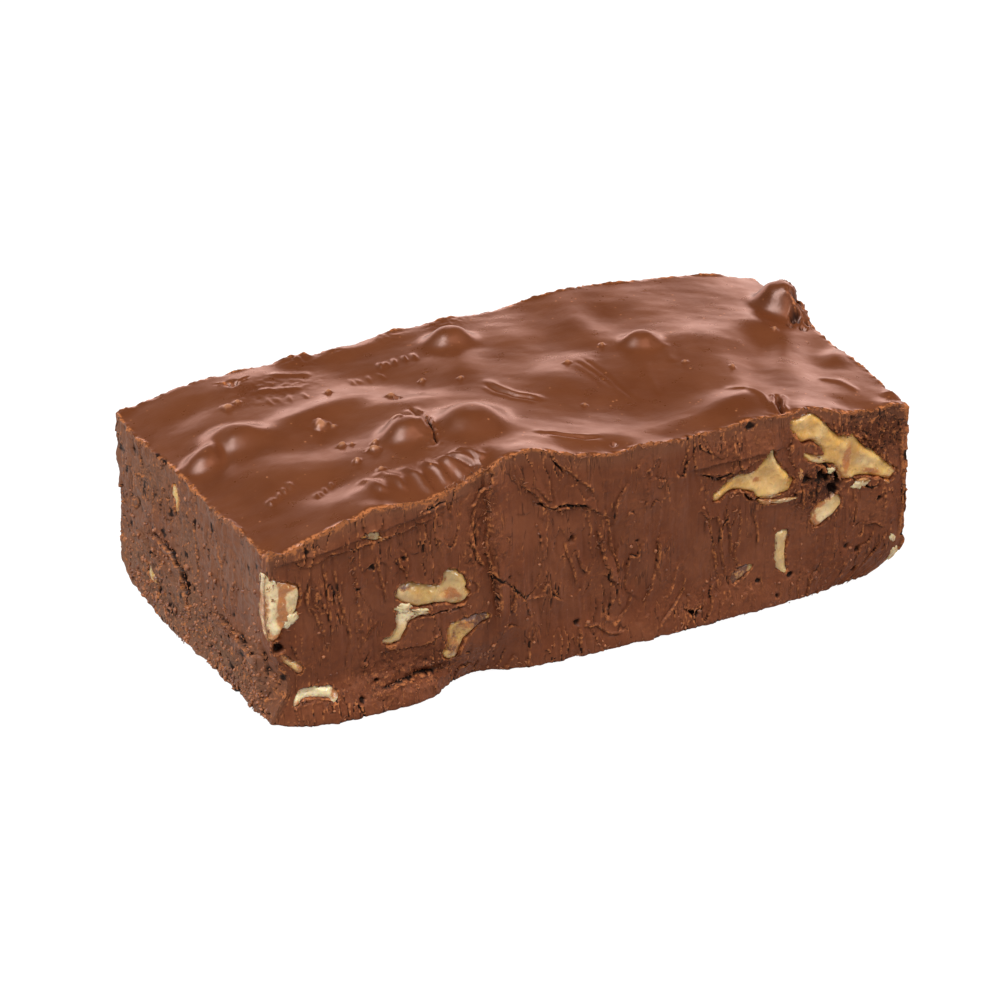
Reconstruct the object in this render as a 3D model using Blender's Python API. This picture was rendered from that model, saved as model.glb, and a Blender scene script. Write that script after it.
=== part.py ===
"""A thick slice of chocolate walnut fudge, cut from a hand-poured slab.

The slice is one uneven block: flat underneath, crowned along its length, with
walnut pieces making lumps under its glossy top. The knife has cut through more
walnut pieces, which show as pale shapes in the block's sides. Each of those is a
solid of its own, sitting in a pocket of the block.

Sizes below are in millimetres and the meshes are made in metres. X runs along the
slice from its left end, Y from its front to its back, and Z up from its base.
"""

import math

import bmesh
import bpy
import numpy as np
from mathutils import Matrix

MM = 0.001

# The block, whose outline seen from above is a little wider at its left end
LEFT_END = -55.5
RIGHT_END = 55.0
FRONT = -26.0
BACK_AT_LEFT = 31.0
BACK_AT_RIGHT = 25.5
MEAN_HEIGHT = 32.0

# Height of the top along the front edge and along the back edge, as (x, z)
FRONT_EDGE = (
    (-56, 28.4), (-45, 31.6), (-28, 34.2), (-19, 36.6), (-8, 35.8), (10, 34.0), (28, 34.2), (41, 31.9),
    (55, 29.6),
)
BACK_EDGE = (
    (-56, 27.2), (-46, 30.5), (-40, 31.3), (-26, 31.6), (-16, 32.1), (-6, 33.7), (9, 33.8), (21, 35.2),
    (32, 34.8), (43, 34.0), (50, 32.4), (57, 30.2),
)
EDGE_SOFTNESS = 4.0

# How much the skin dips or rises where it meets the front edge, as (x, z), over this distance from the edge
FRONT_RIM = (
    (-55, -0.5), (-50, 0.2), (-42, 0.2), (-39, 0.8), (-36, 0.0), (-33, -1.1), (-28, -1.8), (-23, -2.5),
    (-20, -1.9), (-17, -0.4), (-11, 0.4), (-7.5, -0.3), (-5, -1.1), (2, -1.35), (7, -0.3),
    (11, -0.45), (22, -0.85), (25, -0.15), (32, -0.25), (35, 0.55), (40, 0.3), (44, -0.6),
    (47.5, -0.6), (51, 0.35), (55, -0.2),
)
RIM_SOFTNESS = 1.2
RIM_REACH = 6.0

# Walnut pieces under the skin, as (x, y, radius along, radius across, turn, height)
LUMPS = (
    (-51.4, 6.8, 3.0, 2.7, 0, 1.9),
    (-45.6, 9.2, 4.3, 3.5, -30, 2.0),
    (-2.8, 19.8, 3.6, 3.1, -20, 2.5),
    (23.3, 4.2, 2.9, 2.7, -27, 1.9),
    (-23.9, -7.0, 3.4, 3.3, -40, 2.4),
    (-14.0, -10.0, 4.9, 4.9, -27, 2.7),
    (52.3, 11.6, 2.9, 4.4, 10, 5.0),
)
LUMP_STEEPNESS = 1.5

# Broad swells and hollows of the skin between them, in the same terms, placed by eye on the photo
SWELLS = (
    # Round the lumps at the left end, and the hollow with ripples in front of them
    (-47, 22, 5, 3, 10, -0.5),
    (-36, 25, 6, 4, 20, 0.6),
    (-48.4, 6.4, 3.5, 1.2, 75, -0.6),
    (-40, 5, 4, 3, -30, 0.5),
    (-46, -4, 6, 5, 0, 0.5),
    (-40, -14, 5, 4, 20, -1.0),
    (-35, -20, 7, 2.5, 5, 0.5),
    # The crest and the bowl in front of it, then the valley from the back edge down to the middle bump
    (-32, 9, 8, 3, 10, 1.0),
    (-33, -1, 7, 5, 10, -0.8),
    (-18, 13, 12, 5, -60, -1.0),
    (-17, 3, 7, 3, -15, 0.4),
    (-16, 27, 8, 2, -5, 0.4),
    (-5, 12, 7, 3, 65, 0.6),
    # The rises and hollows right of the middle
    (6, 16, 8, 4, 75, 0.6),
    (12, 3, 4, 3, -70, 0.5),
    (6, -1, 6, 4.5, 70, 0.9),
    (13, -16, 20, 10, 0, -1.4),
    (18, 17, 9, 3, 75, 0.5),
    (23, 15, 6, 4, 90, -0.5),
    (28, -19, 6, 3, 10, 1.0),
    # The shelf before the knob, the hollow before that, and the right end's slopes
    (34, 3, 7, 5, 0, 0.7),
    (36, -10, 8, 3, 75, -0.6),
    (42.5, -1, 8, 3, 55, -1.1),
    (46, 5, 4, 3, 90, 1.0),
    (48, -9, 10, 3, 62, -0.9),
    (52.5, -7, 3, 2.5, 60, 0.8),
)

# Slight unevenness over the whole top, as (size, height)
TOP_UNEVENNESS = ((11.0, 0.12), (5.0, 0.06))

# Where the front face meets the ground, as (x, y): the foot spreads at the left, then steps back and
# swells again
FRONT_BASE = (
    (-56, -24.2), (-52, -27.4), (-47, -28.9), (-33, -29.2), (-29.4, -27.8), (-25.4, -25.0), (-21, -23.8),
    (-12, -26.7), (8, -27.3), (30, -26.7), (42, -25.6), (55, -24.2),
)
FOOT_HEIGHT = 7.0

# Broad forms of the faces, as (how far out or in, middle and reach along, middle and reach up)
FRONT_CREVICE = (1.4, -30.5, 7.0, 3.6, 1.5)
BACK_BULGE = (1.2, -50.0, 16.0, 23.0, 12.0)
LEFT_FOOT = (0.9, 11.0, 18.0, 0.0, 12.0)

# The front leans back at its highest part: how far, middle and reach along, and the height where it starts
FRONT_LEAN = (0.1, -18.0, 14.0, 20.0)

# The right end is skewed: how far, and the y where it starts and by how much it grows from there
RIGHT_SKEW = (1.4, -10.0, 30.0)
LEAST_SKEW = -0.4

# Upright waves that the knife left, as (width, share of that in their height, how far they stand out),
# and how strong they are on each end
KNIFE_WAVES = ((13.0, 0.6, 0.55), (4.5, 0.35, 0.25), (2.2, 0.4, 0.12))
LEFT_WAVES = 0.6
RIGHT_WAVES = 0.8

# How the lower edges curl in: the back's mostly at its left, from this x over this length
END_ROUNDING = 5.6
BACK_ROUNDING = 4.0
BACK_ROUNDING_FROM = -20.0
BACK_ROUNDING_OVER = 25.0
LEAST_BACK_ROUNDING = 0.15
BASE_LIFT = 0.25
BASE_LIFT_REACH = 1.3
BASE_LIFT_HEIGHT = 3.0
BASE_LIFT_UNEVENNESS = 0.6

# Where the cut folded the fudge over itself on the long faces, as (from x, z, to x, z, step)
FRONT_STEPS = (
    (-19.5, 37.0, -18.0, 8.0, 0.8),
    (1.0, 21.0, 3.5, 9.0, -0.5),
    (16.0, 27.0, 31.0, 27.5, 0.5),
    (-54.0, 27.0, -24.0, 31.0, 0.35),
)
BACK_STEPS = (
    (-40.0, 30.0, -36.0, 7.0, 0.7),
    (-30.0, 12.0, -8.0, 20.0, -0.5),
    (12.0, 33.0, 8.0, 10.0, 0.6),
    (24.0, 24.0, 46.0, 19.0, 0.5),
)
LEFT_STEPS = (
    (24.0, 11.0, 4.0, 8.5, 0.7),
    (4.0, 9.0, -23.0, 10.5, 0.5),
)
RIGHT_STEPS = (
    (-20.0, 12.0, 2.0, 15.0, 0.6),
    (8.0, 22.0, 22.0, 10.0, -0.5),
)
STEP_REACH = 5.0

# Fineness of the solids
BLOCK_GRID = 1.3
BLOCK_SHARE_KEPT = 0.225
POCKET_GAP = 0.35
POCKET_OVERSHOOT = 4.0
OUTLINE_STEPS = 2
OUTLINE_POINTS = 9

# A kernel's rounded edge, how much narrower it is inside, and how far it stands out of the face
KERNEL_ROUNDING = 0.5
KERNEL_NARROWING = 0.3
KERNEL_OUT = 0.15
LOBE_DEPTH = 0.2

# How far in from a face its relief still moves the block
RELIEF_REACH = 10.0
END_REACH = 20.0

# Walnut pieces cut by the front face: name, depth, and the outline as (x, z)
FRONT_WALNUTS = (
    ("walnut_right_large", 8.0, (
        (32.8, 31.2), (34.4, 32.1), (37.4, 32), (42.1, 27.3), (45, 26.9), (46.8, 24.7), (53.2, 18.9),
        (52, 17.2), (49, 18.4), (43.8, 19.2), (41.4, 22.1), (36.3, 23.7), (35.6, 25.4), (37.4, 26),
        (36.2, 27.2), (34.3, 28), (33, 29.8),
    )),
    ("walnut_right_peaked", 7.0, (
        (19.3, 21.3), (22.5, 24.3), (27, 24.9), (29.2, 28.1), (30.3, 27.3), (31, 25.1), (33.8, 21.6),
        (33, 19.4), (27.1, 19.7), (25.8, 21), (22.7, 21.6), (20.6, 20.5),
    )),
    ("walnut_right_skinned", 5.0, (
        (37, 14.9), (38.3, 16.7), (42.2, 17.3), (43.1, 16.3), (43.1, 14.8), (38.7, 11.9), (37.8, 12.1),
        (37, 13.3),
    )),
    ("walnut_right_sliver", 4.0, (
        (30.6, 12.5), (31.6, 13.1), (33, 12.9), (33.3, 11.9), (32.8, 9.1), (33.3, 6), (32.9, 5),
        (31.3, 6.6),
    )),
    ("walnut_right_buried", 3.0, (
        (23.2, 6.1), (24.6, 7.9), (27, 8.1), (26.6, 7), (24.6, 5.8), (23.6, 5.4),
    )),
    ("walnut_centre_waisted", 7.0, (
        (-35.4, 17.9), (-34.2, 19.2), (-32.4, 19.3), (-27.9, 18.1), (-26.8, 19.7), (-25.4, 20),
        (-23.5, 18.6), (-22.4, 15.4), (-24, 13.7), (-28.2, 14.7), (-31.7, 14.9), (-34.9, 16.6),
    )),
    ("walnut_centre_crumbled", 4.0, (
        (-35.3, 14.3), (-33.2, 14), (-31.2, 12.7), (-33, 12), (-34.3, 10.2), (-36.2, 9.4),
        (-37.3, 10.5), (-35.5, 11.9),
    )),
    ("walnut_centre_smeared", 5.0, (
        (-26.7, 10), (-25.6, 11.1), (-22.2, 11.8), (-19.4, 11.2), (-19.6, 10.1), (-21.6, 9.1),
        (-23.5, 7.5), (-24.6, 4.9), (-26.2, 4.4), (-27.5, 5.6), (-27, 7.4),
    )),
    ("walnut_corner_tall", 3.6, (
        (-54.6, 24.2), (-53.4, 24.7), (-50.9, 23.4), (-50.6, 21), (-52, 17.2), (-54, 15.4),
        (-54.7, 16.4), (-54.7, 20),
    )),
    ("walnut_corner_small", 3.2, (
        (-54.2, 12.1), (-51.4, 10.5), (-50.7, 9.3), (-51.4, 8.6), (-53.4, 9.8), (-54.3, 11),
    )),
    ("walnut_foot_shard", 3.6, (
        (-52.7, 4.5), (-51.6, 5.6), (-49.8, 5.8), (-46.9, 5.3), (-45.7, 4.4), (-46.2, 3.5),
        (-47.2, 4.1), (-50, 4.5), (-52.3, 3.6),
    )),
    ("walnut_under_rim", 2.6, (
        (-41, 29), (-38.7, 29.4), (-37.5, 28.8), (-37.5, 27.9), (-39.2, 27.9),
    )),
)

# Walnut pieces in the sides that the slice turns away: name, depth, place along and up the face, size, turn
BACK_WALNUTS = (
    ("walnut_back_left", 6.0, (-42.0, 19.0), (12.0, 6.0), 25),
    ("walnut_back_low", 5.0, (-27.0, 8.0), (8.0, 4.4), -15),
    ("walnut_back_middle", 7.0, (-6.0, 23.0), (13.0, 6.6), -35),
    ("walnut_back_shard", 4.0, (11.0, 10.0), (7.0, 3.2), 60),
    ("walnut_back_right", 6.0, (30.0, 19.5), (11.0, 7.0), 15),
    ("walnut_back_corner", 4.0, (45.0, 9.0), (6.0, 4.0), -50),
)
LEFT_WALNUTS = (
    ("walnut_left_chip", 3.6, (8.4, 23.6), (5.0, 3.0), 70),
    ("walnut_left_low", 4.0, (18.0, 6.0), (6.0, 3.0), 10),
)
RIGHT_WALNUTS = (
    ("walnut_end_front", 5.0, (-14.0, 18.0), (9.0, 5.4), 30),
    ("walnut_end_back", 5.0, (13.0, 13.0), (8.0, 5.0), -25),
)

FUDGE_COLOUR = (0.135, 0.046, 0.022)
FUDGE_ROUGHNESS = 0.45
WALNUT_COLOUR = (0.56, 0.34, 0.13)
WALNUT_ROUGHNESS = 0.5


def falloff(distance):
    """1 at zero distance and 0 from one unit on, with no corner at either end."""
    near = np.clip(1 - np.abs(distance), 0, 1)
    return near * near * (3 - 2 * near)


def softened_line(x, points, softness=EDGE_SOFTNESS):
    """The height at x of a line through points, with its corners rounded over the softness."""
    along, heights = np.transpose(points)
    offsets = np.linspace(-softness, softness, 9)
    return np.mean([np.interp(x + offset, along, heights) for offset in offsets], axis=0)


def lattice_angle(ix, iy, seed):
    """A fixed pseudo-random angle for each point of a whole-number lattice."""
    mixed = (ix * 374761393 + iy * 668265263 + seed * 974634777) & 0xFFFFFFFF
    mixed = ((mixed ^ (mixed >> 13)) * 1274126177) & 0xFFFFFFFF
    return (mixed ^ (mixed >> 16)) / 0xFFFFFFFF * math.tau


def uneven(a, b, size, seed):
    """Smooth unevenness from about -1 to 1 over two coordinates, with bumps of the given size."""
    a, b = np.broadcast_arrays(np.asarray(a, float) / size, np.asarray(b, float) / size)
    ia, ib = np.floor(a).astype(np.int64), np.floor(b).astype(np.int64)
    fa, fb = a - ia, b - ib
    total = 0
    for step_a in (0, 1):
        for step_b in (0, 1):
            angle = lattice_angle(ia + step_a, ib + step_b, seed)
            slope = np.cos(angle) * (fa - step_a) + np.sin(angle) * (fb - step_b)
            total = total + slope * falloff(fa - step_a) * falloff(fb - step_b)
    return 1.5 * total


def turned_offsets(x, y, middle_x, middle_y, turn):
    """Offsets from a middle point, along and across a direction turned by that many degrees."""
    c, s = math.cos(math.radians(turn)), math.sin(math.radians(turn))
    dx, dy = x - middle_x, y - middle_y
    return dx * c + dy * s, dy * c - dx * s


def top_height(x, y):
    """Height of the glossy top, from its crowned base and the lumps and swells in it."""
    across = np.clip((y - FRONT) / (back_line(x) - FRONT), 0, 1)
    height = softened_line(x, FRONT_EDGE) * (1 - across) + softened_line(x, BACK_EDGE) * across
    height = height + softened_line(x, FRONT_RIM, RIM_SOFTNESS) * falloff((y - FRONT) / RIM_REACH)
    for middle_x, middle_y, radius_along, radius_across, turn, rise in LUMPS:
        along, side = turned_offsets(x, y, middle_x, middle_y, turn)
        squared = (along / radius_along) ** 2 + (side / radius_across) ** 2
        height = height + rise * np.exp(-(squared**LUMP_STEEPNESS))
    for middle_x, middle_y, radius_along, radius_across, turn, rise in SWELLS:
        along, side = turned_offsets(x, y, middle_x, middle_y, turn)
        height = height + rise * np.exp(-((along / radius_along) ** 2) - (side / radius_across) ** 2)
    for seed, (size, rise) in enumerate(TOP_UNEVENNESS, start=1):
        height = height + rise * uneven(x, y, size, seed)
    return height


def back_line(x):
    """Y of the back face at x, before its relief."""
    return np.interp(x, (LEFT_END, RIGHT_END), (BACK_AT_LEFT, BACK_AT_RIGHT))


def steps_relief(a, z, steps):
    """How far a face stands out where the cut has folded the fudge over itself."""
    relief = np.zeros(np.broadcast(a, z).shape)
    for from_a, from_z, to_a, to_z, step in steps:
        length = math.hypot(to_a - from_a, to_z - from_z)
        along = ((a - from_a) * (to_a - from_a) + (z - from_z) * (to_z - from_z)) / length**2
        side = ((a - from_a) * (to_z - from_z) - (z - from_z) * (to_a - from_a)) / length
        inside = falloff(2 * np.clip(np.abs(along - 0.5) - 0.4, 0, None) / 0.4)
        relief = relief + inside * step * np.where(side < 0, 1, 0) * falloff(side / STEP_REACH)
    return relief


def drag_relief(a, z, seed):
    """The shallow upright waves that a knife leaves as it drags through soft fudge."""
    waves = zip(KNIFE_WAVES, (seed, seed + 1, seed + 2), strict=True)
    return sum(height * uneven(a, z * squash, size, each) for (size, squash, height), each in waves)


def broad_form(a, z, form):
    """A soft swelling of a face, as far out as the form says at its middle."""
    out, middle_a, reach_a, middle_z, reach_z = form
    return out * falloff((a - middle_a) / reach_a) * falloff((z - middle_z) / reach_z)


def front_relief(x, z):
    """How far the front face stands out towards -Y of its plane."""
    above_foot = 1 - falloff(z / FOOT_HEIGHT)
    foot = (FRONT - softened_line(x, FRONT_BASE, 1.0)) * (1 - above_foot)
    lean, middle, reach, start = FRONT_LEAN
    leaning_back = lean * falloff((x - middle) / reach) * np.clip(z - start, 0, None)
    relief = drag_relief(x, z, 11) + steps_relief(x, z, FRONT_STEPS)
    return relief * above_foot + foot - broad_form(x, z, FRONT_CREVICE) - leaning_back


def back_relief(x, z):
    """How far the back face stands out towards +Y of its plane."""
    share = np.clip((BACK_ROUNDING_FROM - x) / BACK_ROUNDING_OVER, LEAST_BACK_ROUNDING, 1)
    rounding = BACK_ROUNDING * np.clip(1 - z / BACK_ROUNDING, 0, 1) ** 2 * share
    return drag_relief(x, z, 21) + steps_relief(x, z, BACK_STEPS) + broad_form(x, z, BACK_BULGE) - rounding


def left_relief(y, z):
    """How far the left end stands out towards -X of its plane."""
    return LEFT_WAVES * drag_relief(y, z, 31) + steps_relief(y, z, LEFT_STEPS) + broad_form(y, z, LEFT_FOOT)


def right_relief(y, z):
    """How far the right end stands out towards +X of its plane."""
    rounding = END_ROUNDING * np.clip(1 - z / END_ROUNDING, 0, 1) ** 2
    furthest, start, length = RIGHT_SKEW
    skew = furthest * np.clip((y - start) / length, LEAST_SKEW, 1)
    return RIGHT_WAVES * drag_relief(y, z, 41) + steps_relief(y, z, RIGHT_STEPS) + skew - rounding


def block_points(share):
    """Takes points of the unit cube to the uneven block: each face is moved out or in by its own relief."""
    along, across, up = share.T
    x = LEFT_END + along * (RIGHT_END - LEFT_END)
    y = FRONT + across * (back_line(x) - FRONT)
    z = up * top_height(x, y)
    to_front = falloff((y - FRONT) / RELIEF_REACH)
    to_back = falloff((back_line(x) - y) / RELIEF_REACH)
    to_left = falloff((x - LEFT_END) / END_REACH)
    to_right = falloff((RIGHT_END - x) / END_REACH)
    moved_x = x - to_left * left_relief(y, z) + to_right * right_relief(y, z)
    moved_y = y - to_front * front_relief(x, z) + to_back * back_relief(x, z)
    edge = np.minimum.reduce([x - LEFT_END, RIGHT_END - x, y - FRONT, back_line(x) - y])
    lift = BASE_LIFT * falloff(edge / BASE_LIFT_REACH) * falloff(z / BASE_LIFT_HEIGHT)
    lift = lift * (1 + BASE_LIFT_UNEVENNESS * uneven(x, y, 3.0, 51))
    return np.column_stack([moved_x, moved_y, z + lift])


def food_material(name, colour, roughness):
    material = bpy.data.materials.new(name)
    material.use_nodes = True
    shader = material.node_tree.nodes["Principled BSDF"]
    shader.inputs["Base Color"].default_value = (*colour, 1.0)
    shader.inputs["Roughness"].default_value = roughness
    shader.inputs["Metallic"].default_value = 0.0
    return material


def place(obj, collection, origin, material=None):
    """Links an object under the block's origin, with its material."""
    collection.objects.link(obj)
    obj.parent = origin
    if material:
        obj.data.materials.append(material)
    return obj


def cut_grid(bm, axis, cuts):
    """Cuts every edge of the unit cube that runs along an axis into equal lengths."""
    running = [e for e in bm.edges if abs(e.verts[0].co[axis] - e.verts[1].co[axis]) > 0.99]
    bmesh.ops.subdivide_edges(bm, edges=running, cuts=cuts, use_grid_fill=True)


def make_block(collection, origin):
    bm = bmesh.new()
    bmesh.ops.create_cube(bm, size=1.0)
    for axis, length in enumerate((RIGHT_END - LEFT_END, BACK_AT_LEFT - FRONT, MEAN_HEIGHT)):
        cut_grid(bm, axis, round(length / BLOCK_GRID) - 1)
    share = np.array([v.co for v in bm.verts]) + 0.5
    for vert, point in zip(bm.verts, block_points(share) * MM, strict=True):
        vert.co = point
    mesh = bpy.data.meshes.new("fudge")
    bm.to_mesh(mesh)
    bm.free()
    material = food_material("fudge", FUDGE_COLOUR, FUDGE_ROUGHNESS)
    block = place(bpy.data.objects.new("fudge", mesh), collection, origin, material)
    mesh.shade_smooth()
    mesh.set_sharp_from_angle(angle=math.radians(50))
    thin = block.modifiers.new("fewer faces where flat", "DECIMATE")
    thin.ratio = BLOCK_SHARE_KEPT
    return block


def lobed_outline(size, turn, seed):
    """An uneven kernel outline of three to four lobes, about its own middle."""
    length, height = size
    draw = np.random.default_rng(seed)
    lobes, phase = draw.integers(3, 5), draw.uniform(0, math.tau)
    angle = np.linspace(0, math.tau, OUTLINE_POINTS, endpoint=False)
    radius = 0.5 * (1 + LOBE_DEPTH * np.cos(lobes * angle + phase)) * draw.uniform(0.9, 1.06, len(angle))
    points = np.column_stack([length * radius * np.cos(angle), height * radius * np.sin(angle)])
    c, s = math.cos(math.radians(turn)), math.sin(math.radians(turn))
    return points @ np.array([[c, s], [-s, c]])


def kernel_mesh(name, outline, depth):
    """A solid with the shape of an outline, rounded along its edges and narrower at its inner end."""
    curve = bpy.data.curves.new(name, "CURVE")
    curve.dimensions = "2D"
    curve.fill_mode = "BOTH"
    curve.resolution_u = OUTLINE_STEPS
    curve.extrude = (depth / 2 - KERNEL_ROUNDING) * MM
    curve.bevel_depth = KERNEL_ROUNDING * MM
    curve.bevel_resolution = 0
    curve.offset = -KERNEL_ROUNDING * MM
    spline = curve.splines.new("BEZIER")
    spline.bezier_points.add(len(outline) - 1)
    for point, (a, b) in zip(spline.bezier_points, outline, strict=True):
        point.co = (a * MM, b * MM, 0)
        point.handle_left_type = point.handle_right_type = "AUTO"
    spline.use_cyclic_u = True
    drawn = bpy.data.objects.new(name, curve)
    bpy.context.scene.collection.objects.link(drawn)
    evaluated = drawn.evaluated_get(bpy.context.evaluated_depsgraph_get())
    mesh = bpy.data.meshes.new_from_object(evaluated)
    bpy.data.objects.remove(drawn)
    bm = bmesh.new()
    bm.from_mesh(mesh)
    bmesh.ops.remove_doubles(bm, verts=bm.verts, dist=0.01 * MM)
    bmesh.ops.recalc_face_normals(bm, faces=bm.faces)
    for vert in bm.verts:
        inward = 0.5 - vert.co.z / (depth * MM)
        narrowing = 1 - KERNEL_NARROWING * inward**2
        vert.co.x *= narrowing
        vert.co.y *= narrowing
    bm.to_mesh(mesh)
    bm.free()
    return mesh


def open_ended(mesh):
    """A copy of a kernel that reaches out past the block's face, so that its pocket is open there."""
    bm = bmesh.new()
    bm.from_mesh(mesh)
    bm.faces.ensure_lookup_table()
    outer = [face for face in bm.faces if face.normal.z > 0.9]
    drawn_out = bmesh.ops.extrude_face_region(bm, geom=outer)["geom"]
    bmesh.ops.delete(bm, geom=outer, context="FACES_ONLY")
    moved = [v for v in drawn_out if isinstance(v, bmesh.types.BMVert)]
    bmesh.ops.translate(bm, verts=moved, vec=(0, 0, POCKET_OVERSHOOT * MM))
    longer = bpy.data.meshes.new(mesh.name + "_pocket")
    bm.to_mesh(longer)
    bm.free()
    return longer


def face_matrix(face, along, up, depth):
    """Where a kernel lies whose outer side is flush with a face, at the point (along, up) of that face."""
    if face == "front":
        turn, place_at = 0, (along, FRONT - front_relief(along, up), up)
    elif face == "back":
        turn, place_at = 180, (along, back_line(along) + back_relief(along, up), up)
    elif face == "left":
        turn, place_at = -90, (LEFT_END - left_relief(along, up), along, up)
    else:
        turn, place_at = 90, (RIGHT_END + right_relief(along, up), along, up)
    inward = Matrix.Translation((0, 0, (KERNEL_OUT - depth / 2) * MM))
    upright = Matrix.Rotation(math.radians(90), 4, "X")
    moved = Matrix.Translation([float(v) * MM for v in place_at])
    return moved @ Matrix.Rotation(math.radians(turn), 4, "Z") @ upright @ inward


def add_kernel(name, face, outline, depth, collection, cutters, origin):
    """A walnut piece in one of the block's faces, and the cutter that makes its pocket."""
    outline = np.asarray(outline, float)
    along, up = outline.mean(axis=0)
    about_middle = outline - (along, up)
    if face in ("back", "left"):
        about_middle = about_middle * (-1, 1)
    mesh = kernel_mesh(name, about_middle, depth)
    material = food_material(name, WALNUT_COLOUR, WALNUT_ROUGHNESS)
    kernel = place(bpy.data.objects.new(name, mesh), collection, origin, material)
    kernel.matrix_basis = face_matrix(face, along, up, depth)
    mesh.shade_smooth()
    mesh.set_sharp_from_angle(angle=math.radians(40))
    cutter = place(bpy.data.objects.new(name + "_pocket", open_ended(mesh)), cutters, origin)
    cutter.matrix_basis = kernel.matrix_basis
    swollen = cutter.modifiers.new("gap round the kernel", "DISPLACE")
    swollen.mid_level = 0
    swollen.strength = POCKET_GAP * MM
    cutter.hide_render = True
    cutter.display_type = "WIRE"


def add_kernels(collection, cutters, origin):
    for name, depth, outline in FRONT_WALNUTS:
        add_kernel(name, "front", outline, depth, collection, cutters, origin)
    seed = 100
    for face, kernels in (("back", BACK_WALNUTS), ("left", LEFT_WALNUTS), ("right", RIGHT_WALNUTS)):
        for name, depth, middle, size, turn in kernels:
            seed += 1
            outline = lobed_outline(size, turn, seed) + middle
            add_kernel(name, face, outline, depth, collection, cutters, origin)


def centre_on_base(origin, block):
    """Moves the block's origin so that the base's middle is at the world's origin."""
    bpy.context.view_layer.update()
    evaluated = block.evaluated_get(bpy.context.evaluated_depsgraph_get())
    corners = np.array([evaluated.matrix_world @ v.co for v in evaluated.data.vertices])
    middle = (corners.min(axis=0) + corners.max(axis=0)) / 2
    origin.location = (-middle[0], -middle[1], -corners[:, 2].min())


def main():
    for obj in list(bpy.data.objects):
        bpy.data.objects.remove(obj)
    collection = bpy.data.collections.new("walnut_fudge_slice")
    cutters = bpy.data.collections.new("pocket_cutters")
    bpy.context.scene.collection.children.link(collection)
    bpy.context.scene.collection.children.link(cutters)
    origin = bpy.data.objects.new("slice_origin", None)
    collection.objects.link(origin)
    block = make_block(collection, origin)
    add_kernels(collection, cutters, origin)
    pockets = block.modifiers.new("pockets for the walnuts", "BOOLEAN")
    pockets.operation = "DIFFERENCE"
    pockets.solver = "EXACT"
    pockets.operand_type = "COLLECTION"
    pockets.collection = cutters
    centre_on_base(origin, block)


main()
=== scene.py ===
"""The looks of a thick slice of chocolate walnut fudge: its glossy skin, cut faces and walnut pieces.

Lengths are in millimetres, in the slice's own construction coordinates: X from its left end to its right,
Y from its front cut face to its back, Z up from its base. in_frame() takes them to the frame, in metres.
"""

import math

import bmesh
import bpy
import numpy as np
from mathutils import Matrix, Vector
from mathutils.geometry import delaunay_2d_cdt


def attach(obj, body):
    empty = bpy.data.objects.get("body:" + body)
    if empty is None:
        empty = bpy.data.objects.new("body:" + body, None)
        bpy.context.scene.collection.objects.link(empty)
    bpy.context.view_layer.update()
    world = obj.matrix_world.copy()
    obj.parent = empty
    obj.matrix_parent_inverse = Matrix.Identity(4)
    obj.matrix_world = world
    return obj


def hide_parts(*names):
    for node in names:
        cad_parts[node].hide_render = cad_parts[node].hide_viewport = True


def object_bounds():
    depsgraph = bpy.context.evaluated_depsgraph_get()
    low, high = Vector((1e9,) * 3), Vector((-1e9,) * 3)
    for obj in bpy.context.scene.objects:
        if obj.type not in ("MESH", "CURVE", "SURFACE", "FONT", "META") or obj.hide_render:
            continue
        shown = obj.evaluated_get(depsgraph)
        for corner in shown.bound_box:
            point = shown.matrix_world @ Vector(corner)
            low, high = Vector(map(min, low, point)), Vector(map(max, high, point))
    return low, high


MM = 0.001

# The block, as in its construction
LEFT_END = -55.5
RIGHT_END = 55.0
FRONT = -26.0
BACK_AT_LEFT = 31.0
BACK_AT_RIGHT = 25.5
FRONT_EDGE = (
    (-56, 28.4), (-45, 31.6), (-28, 34.2), (-19, 36.6), (-8, 35.8), (10, 34), (28, 34.2), (41, 31.9),
    (55, 29.6),
)
BACK_EDGE = (
    (-56, 27.2), (-46, 30.5), (-40, 31.3), (-26, 31.6), (-16, 32.1), (-6, 33.7), (9, 33.8), (21, 35.2),
    (32, 34.8), (43, 34), (50, 32.4), (57, 30.2),
)
EDGE_SOFTNESS = 4

# How much the skin dips or rises where it meets the front edge, as (x, z), over this distance from the edge
FRONT_RIM = (
    (-55, -0.5), (-50, 0.2), (-42, 0.2), (-39, 0.8), (-36, 0), (-33, -1.1), (-28, -1.8), (-23, -2.5),
    (-20, -1.9), (-17, -0.4), (-11, 0.4), (-7.5, -0.3), (-5, -1.1), (2, -1.35), (7, -0.3), (11, -0.45),
    (22, -0.85), (25, -0.15), (32, -0.25), (35, 0.55), (40, 0.3), (44, -0.6), (47.5, -0.6), (51, 0.35),
    (55, -0.2),
)
RIM_SOFTNESS = 1.2
RIM_REACH = 6
FRONT_BASE = (
    (-56, -24.2), (-52, -27.4), (-47, -28.9), (-33, -29.2), (-29.4, -27.8), (-25.4, -25), (-21, -23.8),
    (-12, -26.7), (8, -27.3), (30, -26.7), (42, -25.6), (55, -24.2),
)
FOOT_HEIGHT = 7
CREVICE_DEPTH = 1.4
CORNER_WEAR = 2.4
END_ROUNDING = 5.6
BACK_ROUNDING = 4
RELIEF_REACH = 10
END_REACH = 20

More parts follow.
